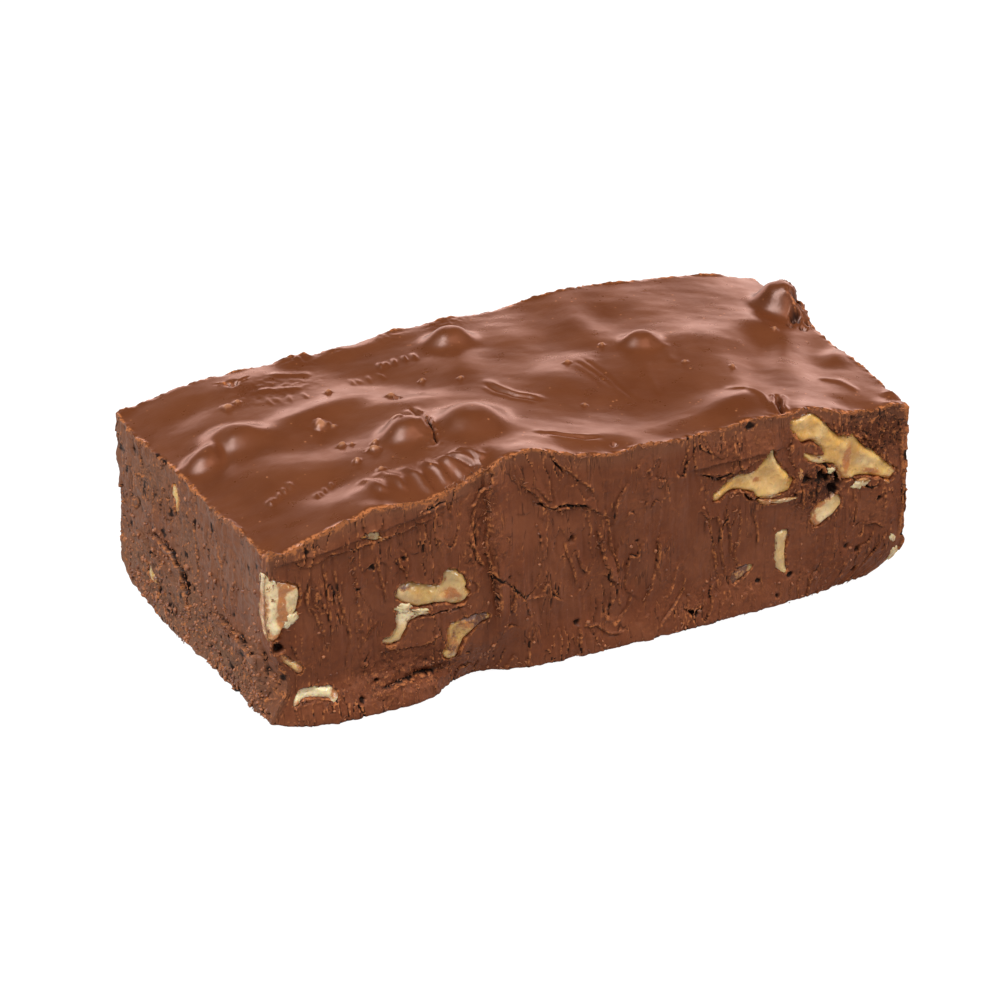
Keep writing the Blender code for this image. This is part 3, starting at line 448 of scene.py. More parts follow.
# Patches of colour on the walnut pieces, as (look, x, z, half length, half width, turn, amount)
WALNUT_SPOTS = {
    "walnut_right_large": (
        ("smear", 36.4, 26.4, 1.9, 0.8, -20, 1.5), ("skin", 35.3, 27.4, 1.7, 0.4, 12, 1.3),
        ("smear", 38, 25.2, 1.4, 0.5, -20, 0.9), ("smear", 42.7, 21.4, 1.3, 2.3, -12, 1.7),
        ("skin", 43.9, 22.6, 0.8, 2.2, -10, 1.5), ("skin", 48.4, 19.7, 1.5, 0.6, -18, 1.2),
        ("smear", 45.4, 25.9, 0.9, 0.5, -60, 0.9), ("smear", 40.6, 28.6, 1, 0.5, -50, 0.8),
        ("skin", 52, 17.6, 0.9, 0.7, 0, 1.6), ("skin", 52.9, 19.3, 0.8, 0.5, -40, 1),
        ("cream", 37.2, 23.6, 2.2, 0.7, -8, 0.6), ("cream", 35, 30.4, 1.8, 1.5, 0, 0.3),
        ("cream", 46.6, 21.8, 1.8, 1.2, -20, 0.35),
    ),
    "walnut_right_peaked": (
        ("skin", 27.3, 22.9, 0.7, 0.3, 10, 1.2), ("smear", 20.3, 21.3, 1.4, 0.6, 10, 0.7),
        ("grey", 29.4, 27.2, 0.8, 1.6, 0, 0.9), ("smear", 25.3, 24.9, 1.6, 0.4, 8, 0.8),
        ("smear", 32.6, 22, 0.5, 1.4, 10, 0.6), ("cream", 30.8, 20.6, 2, 1.2, 0, 0.15),
    ),
    "walnut_right_skinned": (
        ("skin", 37.3, 14.2, 0.7, 2, 10, 1.9), ("skin", 39.4, 16.6, 2.2, 0.6, 18, 1.8),
        ("skin", 38.2, 12.4, 1, 0.5, -10, 1.5), ("grey", 41, 15.4, 2.2, 0.9, 35, 0.6),
        ("smear", 37.7, 14, 0.55, 2.2, 10, 1.5), ("smear", 39.6, 16.5, 2.2, 0.5, 18, 1.4),
        ("cream", 39.6, 13.9, 1.6, 0.8, 50, 0.6),
    ),
    "walnut_right_sliver": (
        ("smear", 31.1, 12.9, 1.2, 0.8, 0, 0.7), ("smear", 33.6, 11, 0.6, 1.6, 0, 0.6),
        ("grey", 32.2, 7.6, 1.2, 3, 0, -0.5),
    ),
    "walnut_centre_waisted": (
        ("skin", -25.8, 15.9, 1.5, 0.9, -20, 1.3), ("smear", -32.6, 18.6, 3.2, 0.7, 0, 1.1),
        ("cream", -23.2, 14, 1.8, 0.5, 25, 1), ("skin", -22.7, 15.7, 0.5, 1.4, 0, 0.9),
        ("grey", -25.6, 19, 1.6, 1, 0, 0.5),
    ),
    "walnut_centre_crumbled": (
        ("cream", -33.5, 14.3, 2.4, 1, 10, 1.2), ("smear", -36.2, 10.2, 1.2, 1.2, 0, 0.7),
    ),
    "walnut_centre_smeared": (
        ("skin", -22.6, 10.6, 2, 0.8, 20, 1.2), ("smear", -21.2, 9.8, 1.4, 1.8, 0, 0.8),
        ("smear", -25.8, 5.9, 1.2, 0.9, 0, 0.9), ("skin", -25.1, 6.9, 0.8, 1.2, 20, 1),
    ),
    "walnut_corner_tall": (
        ("skin", -53.7, 20.6, 0.55, 3.2, -4, 2), ("skin", -52.6, 23.6, 1.3, 0.7, -12, 1.9),
        ("skin", -53.2, 17.8, 0.5, 1.2, -10, 1.8), ("cream", -55.2, 19.6, 0.8, 5, 0, 0.5),
        ("grey", -51.2, 21.6, 0.6, 2.2, 0, 0.9), ("smear", -50.9, 22.4, 0.4, 1.6, 0, 1),
        ("skin", -54.6, 15.4, 0.8, 0.5, 0, 1.4),
    ),
    "walnut_corner_small": (
        ("skin", -54.2, 12.1, 0.9, 0.5, -30, 1.6), ("skin", -51.4, 9.6, 0.7, 0.8, -20, 1.3),
    ),
    "walnut_foot_shard": (
        ("skin", -52.4, 3.9, 0.5, 0.4, 0, 1), ("skin", -46, 4.4, 0.6, 0.8, 0, 1.4),
    ),
}

# Broken flakes of walnut on the front face, as (x, z, length, width, turn, cream, brown)
CHIPS = (
    (29.1, 18.8, 3.8, 1, -8, 0.35, 0.75), (32.2, 18.3, 4.6, 0.7, -4, 0.75, 0.45),
    (29.8, 19.6, 3.3, 0.6, -5, 0.3, 0.8), (40.7, 21.5, 1.6, 1, -11, 1, 0),
    (46.6, 17.7, 3.3, 1.5, 13, 0.8, 0.15), (47.1, 18.3, 2.5, 0.8, -5, 0.2, 0.6),
    (34.7, 22.5, 2.8, 1.2, -74, 0, 0.9), (-52.6, 17.8, 3.1, 1.9, 42, 1, 0.15),
    (52.8, 7.2, 1.7, 1.1, -64, 0.9, 0.3), (54, 4, 3.1, 1.2, 120, 0.75, 0.3),
    (-33.8, 15.3, 3, 1.7, -16, 0.95, 0.1), (-30.9, 14.2, 3.2, 1.2, -14, 0.8, 0.25),
    (-40.3, 28.9, 1.9, 0.5, -18, 0, 1), (-37.3, 27.8, 1.1, 0.7, -30, 0, 1),
    (51.4, 17.3, 1.2, 0.7, -23, 0.1, 1),
)

# How deep the block gives way under a walnut piece, below which the kernel's own surface shows
POCKET_DEPTH = 1.2

# Crumbly places of the cut faces, as (place along, up, radius along, up, amount)
FRONT_ROUGH = (
    (-38, 5, 9, 4, 0.4), (49, 27, 7, 6, 1.3), (36, 20, 5, 5, 0.5), (-20, 26, 4, 8, 0.4),
    (44, 8, 9, 6, 0.3), (24, 29, 9, 3, 0.3), (22, 6, 9, 5, 0.2), (-29, 5, 5, 3, 0.6), (8, 4, 12, 4, 0.2),
    (39.5, 18, 4, 3.5, 1),
)
LEFT_ROUGH = ((14, 5, 16, 6, 0.8), (-10, 5, 14, 5, 0.7), (16, 22, 8, 6, 0.6), (2, 18, 9, 7, 0.4))
BACK_ROUGH = ((-30, 6, 16, 5, 0.8), (20, 8, 14, 6, 0.7), (40, 24, 9, 6, 0.6))
RIGHT_ROUGH = ((0, 6, 20, 5, 0.8), (-12, 22, 8, 6, 0.6), (6, 33, 6, 4, 0.9))

# Painted shade over the hollow above the skinned walnut, in the same terms
HOLLOW_SHADE = (40, 18.6, 3.2, 2.6, 0.6)

# What differs between the other cut faces: seed, marks, air holes and crumbly places
SIDES = {
    "left": (300, LEFT_MARKS, LEFT_PITS, LEFT_ROUGH),
    "back": (400, BACK_MARKS, BACK_PITS, BACK_ROUGH),
    "right": (500, RIGHT_MARKS, RIGHT_PITS + KNOB_PITS, RIGHT_ROUGH),
}

# Crinkled places of the skin, and the knob's shoulder and the dip behind it, as (x, y, radii, amount)
CRINKLES = ((-22.6, -12.2, 1.8, 3, 1), (-33, 21, 7, 4, 0.6))
KNOB_SHOULDER = (53.8, 10.8, 2.2, 3.2, 0.8)
KNOB_DIP = (52.2, 12, 1.8, 2.4, 0.6)

# Tips and curls on the upper rim, as (x, y, radius, rise)
RIM_TIPS = (
    (-55.4, -25.9, 0.9, 1.5), (-55.2, 30.8, 1.6, 0.4), (-53.4, 30.6, 1.2, 0.3), (-26, 29.3, 2.4, 0.8),
    (-23.6, 29.2, 0.8, 0.5), (-19, 29.1, 2.6, 0.5), (-10, 28.6, 2.4, 0.4), (0.4, 28.2, 3.2, 0.5),
    (52.6, -25.8, 1.6, 0.6), (54.4, -22, 1.2, 0.7),
)

# Loose crumbs on the cut faces: how many on each face, from where to where along it, how high up, their
# size, and how much larger they are on the left
CRUMB_COUNTS = {"front": 130, "left": 700, "back": 260, "right": 160}
CRUMB_SPANS = {"front": (-53, 52), "left": (-24, 29), "back": (-53, 52), "right": (-24, 24)}
CRUMB_HEIGHT = 27
CRUMB_SIZE = (0.10, 0.34)
LEFT_CRUMB_SHARE = 1.3

# A torn flake's stations along it and its thickness, and how many stand to a millimetre of each kind of mark
FLAKE_STATIONS = 5
FLAKE_THICKNESS = 0.16
FLAKES_ALONG = {"flap": 2.4, "crack": 0.9, "ridge": 1.0}

# A walnut chip's corners round its edge, and its thickness
CHIP_CORNERS = 22
CHIP_THICKNESS = 0.2

# Seeds of the random draws for the scattered pieces
CHIP_DRAWS = 12
FLAKE_DRAWS = 8
CRUMB_DRAWS = 5

# What each point of the block's surface carries for its material, besides its height: painted shade in
# cracks,
# holes, gaps and under flaps; torn orange with a painted highlight on lit edges; crumbly; pale; dust with
# painted sheen
LOOKS = ("dark", "torn", "rough", "pale", "dusty")

# Multipliers of a whole-number hash, for unevenness that is the same in each run
HASH_PRIMES = (374761393, 668265263, 974634777, 1274126177)
HASH_MASK = 0xFFFFFFFF


def falloff(distance):
    """1 at zero distance and 0 from one unit on, with no corner at either end."""
    near = np.clip(1 - np.abs(distance), 0, 1)
    return near * near * (3 - 2 * near)


def bell(distance):
    return np.exp(-np.square(distance))


def spot(a, b, middle_a, middle_b, radius_a, radius_b):
    """1 at a middle point, and less over the two radii round it."""
    return bell(np.hypot((a - middle_a) / radius_a, (b - middle_b) / radius_b))


def softened_line(x, points, softness=EDGE_SOFTNESS):
    """The height at x of a line through points, with its corners rounded over the softness."""
    along, heights = np.transpose(points)
    offsets = np.linspace(-softness, softness, 9)
    return np.mean([np.interp(x + offset, along, heights) for offset in offsets], axis=0)


def lattice_angle(ix, iy, seed):
    """A fixed pseudo-random angle for each point of a whole-number lattice."""
    for_x, for_y, for_seed, again = HASH_PRIMES
    mixed = (ix * for_x + iy * for_y + seed * for_seed) & HASH_MASK
    mixed = ((mixed ^ (mixed >> 13)) * again) & HASH_MASK
    return (mixed ^ (mixed >> 16)) / HASH_MASK * math.tau


def uneven(a, b, size, seed):
    """Smooth unevenness from about -1 to 1 over coordinates a and b, with bumps of the given size."""
    a, b = np.broadcast_arrays(np.asarray(a, float) / size, np.asarray(b, float) / size)
    ia, ib = np.floor(a).astype(np.int64), np.floor(b).astype(np.int64)
    fa, fb = a - ia, b - ib
    total = 0
    for step_a in (0, 1):
        for step_b in (0, 1):
            angle = lattice_angle(ia + step_a, ib + step_b, seed)
            slope = np.cos(angle) * (fa - step_a) + np.sin(angle) * (fb - step_b)
            total = total + slope * falloff(fa - step_a) * falloff(fb - step_b)
    return 1.5 * total


def layered(a, b, size, seed, layers=3):
    """Unevenness with finer and finer bumps laid over each other."""
    return sum(uneven(a, b, size / 2**k, seed + 31 * k) / 2**k for k in range(layers))


def creases(a, b, size, seed):
    """1 along narrow winding lines and 0 between them."""
    return np.exp(-np.abs(uneven(a, b, size, seed)) / 0.07)


def turned_offsets(x, y, middle_x, middle_y, turn):
    """Offsets from a middle point, along and across a direction turned by that many degrees."""
    c, s = math.cos(math.radians(turn)), math.sin(math.radians(turn))
    dx, dy = x - middle_x, y - middle_y
    return dx * c + dy * s, dy * c - dx * s


def back_line(x):
    """Y of the back face at x, before its relief."""
    return np.interp(x, (LEFT_END, RIGHT_END), (BACK_AT_LEFT, BACK_AT_RIGHT))


def from_sides(x, y):
    """Distance in from the nearest side of the straight-sided block."""
    return np.minimum.reduce([x - LEFT_END, RIGHT_END - x, y - FRONT, back_line(x) - y])


def unit_to_block(along, across):
    """X and Y of the straight-sided block at shares of its length and width."""
    x = LEFT_END + along * (RIGHT_END - LEFT_END)
    return x, FRONT + across * (back_line(x) - FRONT)


def top_height(x, y):
    """Height of the glossy top, from its crowned base and the lumps and swells in it."""
    across = np.clip((y - FRONT) / (back_line(x) - FRONT), 0, 1)
    height = softened_line(x, FRONT_EDGE) * (1 - across) + softened_line(x, BACK_EDGE) * across
    height = height + softened_line(x, FRONT_RIM, RIM_SOFTNESS) * falloff((y - FRONT) / RIM_REACH)
    for middle_x, middle_y, radius_along, radius_across, turn, rise in LUMPS:
        along, side = turned_offsets(x, y, middle_x, middle_y, turn)
        squared = (along / radius_along) ** 2 + (side / radius_across) ** 2
        height = height + rise * np.exp(-(squared**LUMP_STEEPNESS))
    for middle_x, middle_y, radius_along, radius_across, turn, rise in SWELLS:
        along, side = turned_offsets(x, y, middle_x, middle_y, turn)
        height = height + rise * bell(np.hypot(along / radius_along, side / radius_across))
    return height + 0.12 * uneven(x, y, 11.0, 1) + 0.06 * uneven(x, y, 5.0, 2)


def steps_relief(a, z, steps):
    """How far a face stands out where the cut has folded the fudge over itself."""
    relief = np.zeros(np.broadcast(a, z).shape)
    for from_a, from_z, to_a, to_z, step in steps:
        length = math.hypot(to_a - from_a, to_z - from_z)
        along = ((a - from_a) * (to_a - from_a) + (z - from_z) * (to_z - from_z)) / length**2
        side = ((a - from_a) * (to_z - from_z) - (z - from_z) * (to_a - from_a)) / length
        inside = falloff(2 * np.clip(np.abs(along - 0.5) - 0.4, 0, None) / 0.4)
        relief = relief + inside * step * np.where(side < 0, 1, 0) * falloff(side / STEP_REACH)
    return relief


def drag_relief(a, z, seed):
    """The shallow upright waves that a knife leaves as it drags through soft fudge."""
    return (
        0.55 * uneven(a, z * 0.6, 13.0, seed)
        + 0.25 * uneven(a, z * 0.35, 4.5, seed + 1)
        + 0.12 * uneven(a, z * 0.4, 2.2, seed + 2)
    )


def front_relief(x, z):
    """How far the front face stands out towards -Y of its plane."""
    above_foot = 1 - falloff(z / FOOT_HEIGHT)
    foot = (FRONT - softened_line(x, FRONT_BASE, 1.0)) * (1 - above_foot)
    crevice = CREVICE_DEPTH * falloff((x + 30.5) / 7) * falloff((z - 3.6) / 1.5)
    leaning_back = 1.6 * falloff((x + 18) / 14) * np.clip(z - 20, 0, None) / 16
    relief = drag_relief(x, z, 11) + steps_relief(x, z, FRONT_STEPS)
    return relief * above_foot + foot - crevice - leaning_back


def back_relief(x, z):
    """How far the back face stands out towards +Y of its plane."""
    bulge = 1.2 * falloff((x + 50) / 16) * falloff((z - 23) / 12)
    rounding = BACK_ROUNDING * np.clip(1 - z / BACK_ROUNDING, 0, 1) ** 2 * np.clip((-x - 20) / 25, 0.15, 1)
    return drag_relief(x, z, 21) + steps_relief(x, z, BACK_STEPS) + bulge - rounding


def left_relief(y, z):
    """How far the left end stands out towards -X of its plane."""
    foot = 0.9 * falloff((y - 11) / 18) * falloff(z / 12)
    return 0.6 * drag_relief(y, z, 31) + steps_relief(y, z, LEFT_STEPS) + foot


def right_relief(y, z):
    """How far the right end stands out towards +X of its plane."""
    rounding = END_ROUNDING * np.clip(1 - z / END_ROUNDING, 0, 1) ** 2
    skew = 1.4 * np.clip((y + 10) / 30, -0.4, 1)
    return 0.8 * drag_relief(y, z, 41) + steps_relief(y, z, RIGHT_STEPS) + skew - rounding


def shaped(x, y, z):
    """Takes points of the straight-sided block to the uneven one: each face moves by its own relief."""
    to_front = falloff(np.clip((y - FRONT) / RELIEF_REACH, 0, 1))
    to_back = falloff(np.clip((back_line(x) - y) / RELIEF_REACH, 0, 1))
    to_left = falloff(np.clip((x - LEFT_END) / END_REACH, 0, 1))
    to_right = falloff(np.clip((RIGHT_END - x) / END_REACH, 0, 1))
    worn = CORNER_WEAR * falloff((x - LEFT_END) / 5) * falloff((y - FRONT) / 6) * bell((z - 6.5) / 4.5)
    moved_x = x - to_left * left_relief(y, z) + to_right * right_relief(y, z) + worn
    moved_y = y - to_front * front_relief(x, z) + to_back * back_relief(x, z)
    return np.column_stack([moved_x, moved_y, z])


def line_coordinates(a, b, points):
    """Distance to a line through points, the side of it, +1 on its left, and the share of its length."""
    points = np.asarray(points, float)
    spans = np.diff(points, axis=0)
    lengths = np.hypot(*spans.T)
    travelled = np.cumsum(lengths) - lengths
    nearest, side, share = np.full(a.shape, np.inf), np.zeros(a.shape), np.zeros(a.shape)
    for start, span, length, before in zip(points[:-1], spans, lengths, travelled, strict=True):
        along = np.clip(((a - start[0]) * span[0] + (b - start[1]) * span[1]) / length**2, 0, 1)
        da, db = a - start[0] - along * span[0], b - start[1] - along * span[1]
        distance = np.hypot(da, db)
        closer = distance < nearest
        nearest = np.where(closer, distance, nearest)
        side = np.where(closer, np.sign(span[0] * db - span[1] * da), side)
        share = np.where(closer, before + along * length, share)
    return nearest, side, share / lengths.sum()


def outline_distance(a, b, outline):
    """Distance to a closed outline, positive inside it."""
    closed = np.vstack([outline, outline[:1]])
    distance, _, _ = line_coordinates(a, b, closed)
    inside = np.zeros(a.shape, bool)
    for (a0, b0), (a1, b1) in zip(closed[:-1], closed[1:], strict=True):
        crosses = (b0 > b) != (b1 > b)
        with np.errstate(divide="ignore", invalid="ignore"):
            reach = (a1 - a0) * (b - b0) / (b1 - b0) + a0
        inside ^= crosses & (a < reach)
    return np.where(inside, distance, -distance)


def outline_width(outline):
    """Half the usual width of a closed outline: its area over its length."""
    a, b = np.transpose(outline)
    next_a, next_b = np.roll(a, -1), np.roll(b, -1)
    return abs(np.sum(a * next_b - b * next_a)) / 2 / np.sum(np.hypot(next_a - a, next_b - b))


class FaceRelief:
    """The fine relief of one face at points (a, b) of it: its height, and its looks."""

    def __init__(self, a, b, seed):
        self.a, self.b = np.asarray(a, float), np.asarray(b, float)
        self.wavy_a = self.a + 0.4 * uneven(a, b, 2.3, seed) + 0.13 * uneven(a, b, 0.8, seed + 1)
        self.wavy_b = self.b + 0.4 * uneven(a, b, 2.3, seed + 2) + 0.13 * uneven(a, b, 0.8, seed + 3)
        for name in ("height", *LOOKS):
            setattr(self, name, np.zeros(self.a.shape))
        self.grain = np.clip(0.5 + 1.1 * uneven(a, b, 0.7, seed + 4), 0, 1)
        self.breaks = np.clip(0.75 + 0.8 * uneven(a, b, 2.6, seed + 5), 0.2, 1)

    def near(self, points, margin):
        """The points that lie within a margin of the box round some points."""
        low, high = np.min(points, axis=0) - margin, np.max(points, axis=0) + margin
        return (self.a > low[0]) & (self.a < high[0]) & (self.b > low[1]) & (self.b < high[1])

    def draw(self, kind, size, points):
        """One mark along a line: a flap, crack, drag, ridge, fold or crease, with its painted shade and
        highlight.
        """
        near = self.near(points, MARK_REACH + 1)
        waviness = 0.35 if kind == "drag" else 1.0
        wavy_a = self.a[near] + waviness * (self.wavy_a[near] - self.a[near])
        wavy_b = self.b[near] + waviness * (self.wavy_b[near] - self.b[near])
        distance, side, share = line_coordinates(wavy_a, wavy_b, points)
        taper = falloff(1 - np.clip(np.minimum(share, 1 - share) / 0.2, 0, 1))
        grain, breaks = self.grain[near], self.breaks[near]
        # Painted shade goes in cracks, grooves and below a flap's edge; a painted highlight in torn orange
        # goes on raised edges
        if kind == "flap":
            out = side * math.copysign(1, size) > 0
            step = abs(size) * taper * (0.4 + 0.6 * breaks)
            self.height[near] += np.where(out, step * np.exp(-distance / (0.45 * MARK_REACH)), 0)
            self.height[near] -= np.where(out, 0, 0.45 * step * bell(distance / 0.25))
            self.dark[near] += np.where(out, 0, taper * breaks * abs(size) * 1.5 * bell(distance / 0.2))
            self.torn[near] += np.where(out, taper * grain * bell((distance - 0.1) / 0.22), 0)
        elif kind == "crack":
            open_to = 0.07 + 0.09 * breaks
            self.height[near] -= taper * breaks * size * bell(distance / open_to)
            self.height[near] += 0.2 * taper * size * grain * bell((distance - 0.4) / 0.2)
            self.dark[near] += 1.5 * taper * breaks * bell(distance / open_to)
            self.torn[near] += 0.8 * taper * grain * bell((distance - 0.35) / 0.16)
        elif kind == "drag":
            offset = side * distance
            raised, cut = bell((offset - 0.12) / 0.15), bell((offset + 0.16) / 0.15)
            self.height[near] += taper * size * (raised - 0.7 * cut)
            self.torn[near] += taper * (0.35 + 0.75 * grain) * bell((offset - 0.10) / 0.12)
            self.dark[near] += 0.7 * taper * breaks * bell((offset + 0.17) / 0.11)
        elif kind == "ridge":
            self.height[near] += taper * size * (0.4 + 0.6 * breaks) * bell(distance / 0.2)
            self.torn[near] += 1.3 * taper * grain * bell(distance / 0.2)
            self.dark[near] += 0.4 * taper * bell((distance - 0.4) / 0.15)
        elif kind == "fold":
            self.height[near] += taper * size * bell(distance / 0.75)
        elif kind == "crease":
            self.height[near] += taper * size * (0.5 * bell((distance - 0.8) / 0.5) - bell(distance / 0.34))
            self.dark[near] += taper * 0.25 * bell(distance / 0.3)

    def lay_plates(self, size, stretch, lean, spacing, step, shown, seed):
        """Thin plates that the knife dragged over each other, along contours of a stretched unevenness, with
        painted shade below each plate's edge and a painted highlight in torn orange along it.
        """

        def level(a, b):
            a = a + lean * b + 0.5 * uneven(a, b, 2.6, seed + 2) + 0.12 * uneven(a, b, 0.8, seed + 3)
            broad, fine = uneven(a, b * stretch, size, seed), uneven(a, b * stretch, 0.4 * size, seed + 1)
            return (broad + 0.3 * fine) / spacing

        value = level(self.a, self.b)
        slope = np.hypot(level(self.a + 0.05, self.b) - value, level(self.a, self.b + 0.05) - value) / 0.05
        share = value - np.floor(value)
        above, below = share / (slope + 0.02), (1 - share) / (slope + 0.02)
        shown = np.clip(shown * (0.55 + 1.5 * uneven(self.a, self.b * 0.6, 3.4, seed + 4)), 0, 1)
        self.height += step * shown * (np.exp(-above / 1.1) - 0.5 * bell(below / 0.22))
        self.dark += 1.2 * shown * self.breaks * bell(below / 0.16)
        self.torn += 1.1 * shown * self.grain * bell((above - 0.08) / 0.15)

    def sink(self, a, b, radius, depth):
        """A ragged hole, with painted shade in it and a torn orange ring round it."""
        near = self.near([(a, b)], 3 * radius)
        radius = 0.62 * radius
        ragged_a = self.wavy_a[near] + 0.5 * radius * uneven(self.a[near], self.b[near], 0.9 * radius, 81)
        ragged_b = self.wavy_b[near] + 0.5 * radius * uneven(self.a[near], self.b[near], 0.9 * radius, 82)
        from_middle = np.hypot(ragged_a - a, ragged_b - b) / radius
        self.height[near] -= depth * np.exp(-(from_middle**4))
        self.dark[near] += (0.5 + 0.8 * self.breaks[near]) * np.exp(-(from_middle**3))
        self.torn[near] += 0.6 * self.grain[near] * bell((from_middle - 1.25) / 0.2)

    def raise_bubble(self, a, b, radius, height):
        """A small round bubble or crumb in the skin, paler than the rest."""
        near = self.near([(a, b)], 3 * radius)
        lumpy = 1 + 0.35 * uneven(self.a[near], self.b[near], 0.8 * radius, 83)
        from_middle = lumpy * np.hypot(self.wavy_a[near] - a, self.wavy_b[near] - b) / radius
        self.height[near] += height * np.exp(-(from_middle**3))
        self.pale[near] += np.exp(-(from_middle**4))

    def open_pocket(self, outline):
        """The fudge gives way where a walnut piece shows, and its edge laps a little over the piece, with
        painted shade along the gap at that edge and torn orange on the lap.
        """
        near = self.near(outline, 2.0)
        a, b = self.a[near], self.b[near]
        distance = outline_distance(a, b, np.asarray(outline))
        lap = min(1.0, outline_width(outline) ** 2)
        distance = distance - lap * (0.2 + 0.3 * uneven(a, b, 1.6, 77) + 0.2 * uneven(a, b, 0.6, 78))
        inside = np.clip(distance / 0.25 + 0.5, 0, 1)
        outside = 1 - inside
        lip = 0.12 * bell(distance / 0.4) * outside
        self.height[near] = self.height[near] * outside + lip - POCKET_DEPTH * inside
        self.dark[near] += 0.55 * bell((distance - 0.15) / 0.2) * self.breaks[near] ** 2
        self.torn[near] += 0.9 * bell((distance + 0.15) / 0.22) * self.grain[near]


def cut_face_detail(relief, seed, marks, pits, rough_places):
    """What all cut faces share: the knife's striations, crumbly places, flaps, cracks, air holes, and painted
    shade in their hollows.
    """
    a, b = relief.a, relief.b
    relief.rough += 0.05 + 0.3 * np.clip(uneven(a, b, 8.0, seed), 0, 1)
    for *place, amount in rough_places:
        relief.rough += amount * spot(relief.wavy_a, relief.wavy_b, *place)
    relief.rough = np.clip(relief.rough, 0, 1)
    striated = np.clip(0.85 + 1.2 * uneven(a, b * 0.5, 12.0, seed + 1), 0.35, 1)
    lean = a + 0.08 * b + 0.5 * uneven(a, b, 9.0, seed + 7)
    strokes = 0.13 * uneven(lean, b * 0.06, 1.5, seed + 2) + 0.09 * uneven(lean, b * 0.08, 0.6, seed + 3)
    scratch = np.clip(uneven(lean, b * 0.07, 1.1, seed + 8) - 0.42, 0, 1) * relief.breaks
    relief.height += striated * (strokes - 0.5 * scratch)
    relief.dark += 0.5 * striated * scratch
    frayed = np.clip(uneven(lean, b * 0.08, 0.9, seed + 4) - 0.4, 0, 1)
    relief.torn += 1.1 * striated * relief.grain * frayed
    relief.lay_plates(7.0, 0.3, 0.06, 0.42, 0.38, striated, seed + 20)
    relief.lay_plates(3.2, 0.22, -0.04, 0.5, 0.2, np.clip(1.2 * striated - 0.1, 0, 1), seed + 30)
    crumbly = layered(a, b, 1.3, seed + 5)
    relief.height += 0.34 * relief.rough * crumbly + 0.03 * layered(a, b, 0.9, seed + 9)
    relief.torn += 1.5 * relief.rough * np.clip(layered(a, b, 0.9, seed + 6) - 0.3, 0, 1)
    relief.dark += 1.6 * relief.rough * np.clip(-0.42 - crumbly, 0, 1)
    for mark in marks:
        relief.draw(*mark)
    for pit in pits:
        relief.sink(*pit)


def front_detail(x, z):
    """The front cut face: a smoother band under its rim, a torn lip with a painted highlight that is stronger
    on the left, and painted shade at its foot.
    """
    relief = FaceRelief(x, z, FRONT_SEED)
    drags = tuple(("drag", DRAG_SIZE, line) for line in DRAG_LINES)
    cut_face_detail(relief, FRONT_SEED + 10, FRONT_MARKS + drags, FRONT_PITS, FRONT_ROUGH)
    from_rim = top_height(x, FRONT) - z
    under_rim = falloff((from_rim - 1.2) / 2.0)
    relief.dusty += 0.35 * under_rim
    relief.height *= 1 - 0.6 * under_rim
    # The lip under the rim gets a painted highlight, in torn orange and a greyer sheen
    lip = falloff(from_rim / 1.5) * np.clip((-6 - x) / 12, 0.3, 1)
    relief.torn += lip * np.clip(0.6 + 0.5 * uneven(x, z, 2.2, FRONT_SEED + 16), 0, 1)
    relief.dusty += 0.5 * lip
    for *_, outline in FRONT_WALNUTS.values():
        relief.open_pocket(outline)
    # Painted shade along the foot, where the face meets the ground
    relief.dark += 0.5 * falloff(z / 0.7)
    # Painted shade over the hollow above the skinned walnut
    *place, amount = HOLLOW_SHADE
    relief.dark += amount * spot(relief.wavy_a, relief.wavy_b, *place)
    return relief


def side_detail(face, a, z):
    """The left end, the back or the right end. The left end has dust with a painted sheen, more towards its
    foot and less near its front edge, is more torn towards its foot, and has painted shade in its crags.
    """
    seed, *places = SIDES[face]
    relief = FaceRelief(a, z, seed)
    cut_face_detail(relief, seed + 10, *places)
    for walnut in OTHER_WALNUTS[face].values():
        relief.open_pocket(lobed_outline(*walnut[5:]))
    if face == "left":
        # Dust on the left end, with a painted sheen
        patches = np.clip(0.75 + 0.4 * uneven(a, z, 9.0, seed + 90), 0, 1)
        relief.dusty += patches * np.clip((a - FRONT) / 7, 0.25, 1)
        relief.dusty += 0.5 * falloff(z / 15)
        relief.torn += 1.1 * falloff(z / 16) * np.clip(layered(a, z, 1.5, seed + 91) - 0.1, 0, 1)
        # Crags, with painted shade in their hollows
        crags = layered(a, z, 2.4, seed + 92)
        relief.dark += 1.5 * np.clip(-0.36 - crags, 0, 1)
        relief.height += 0.26 * crags
    return relief


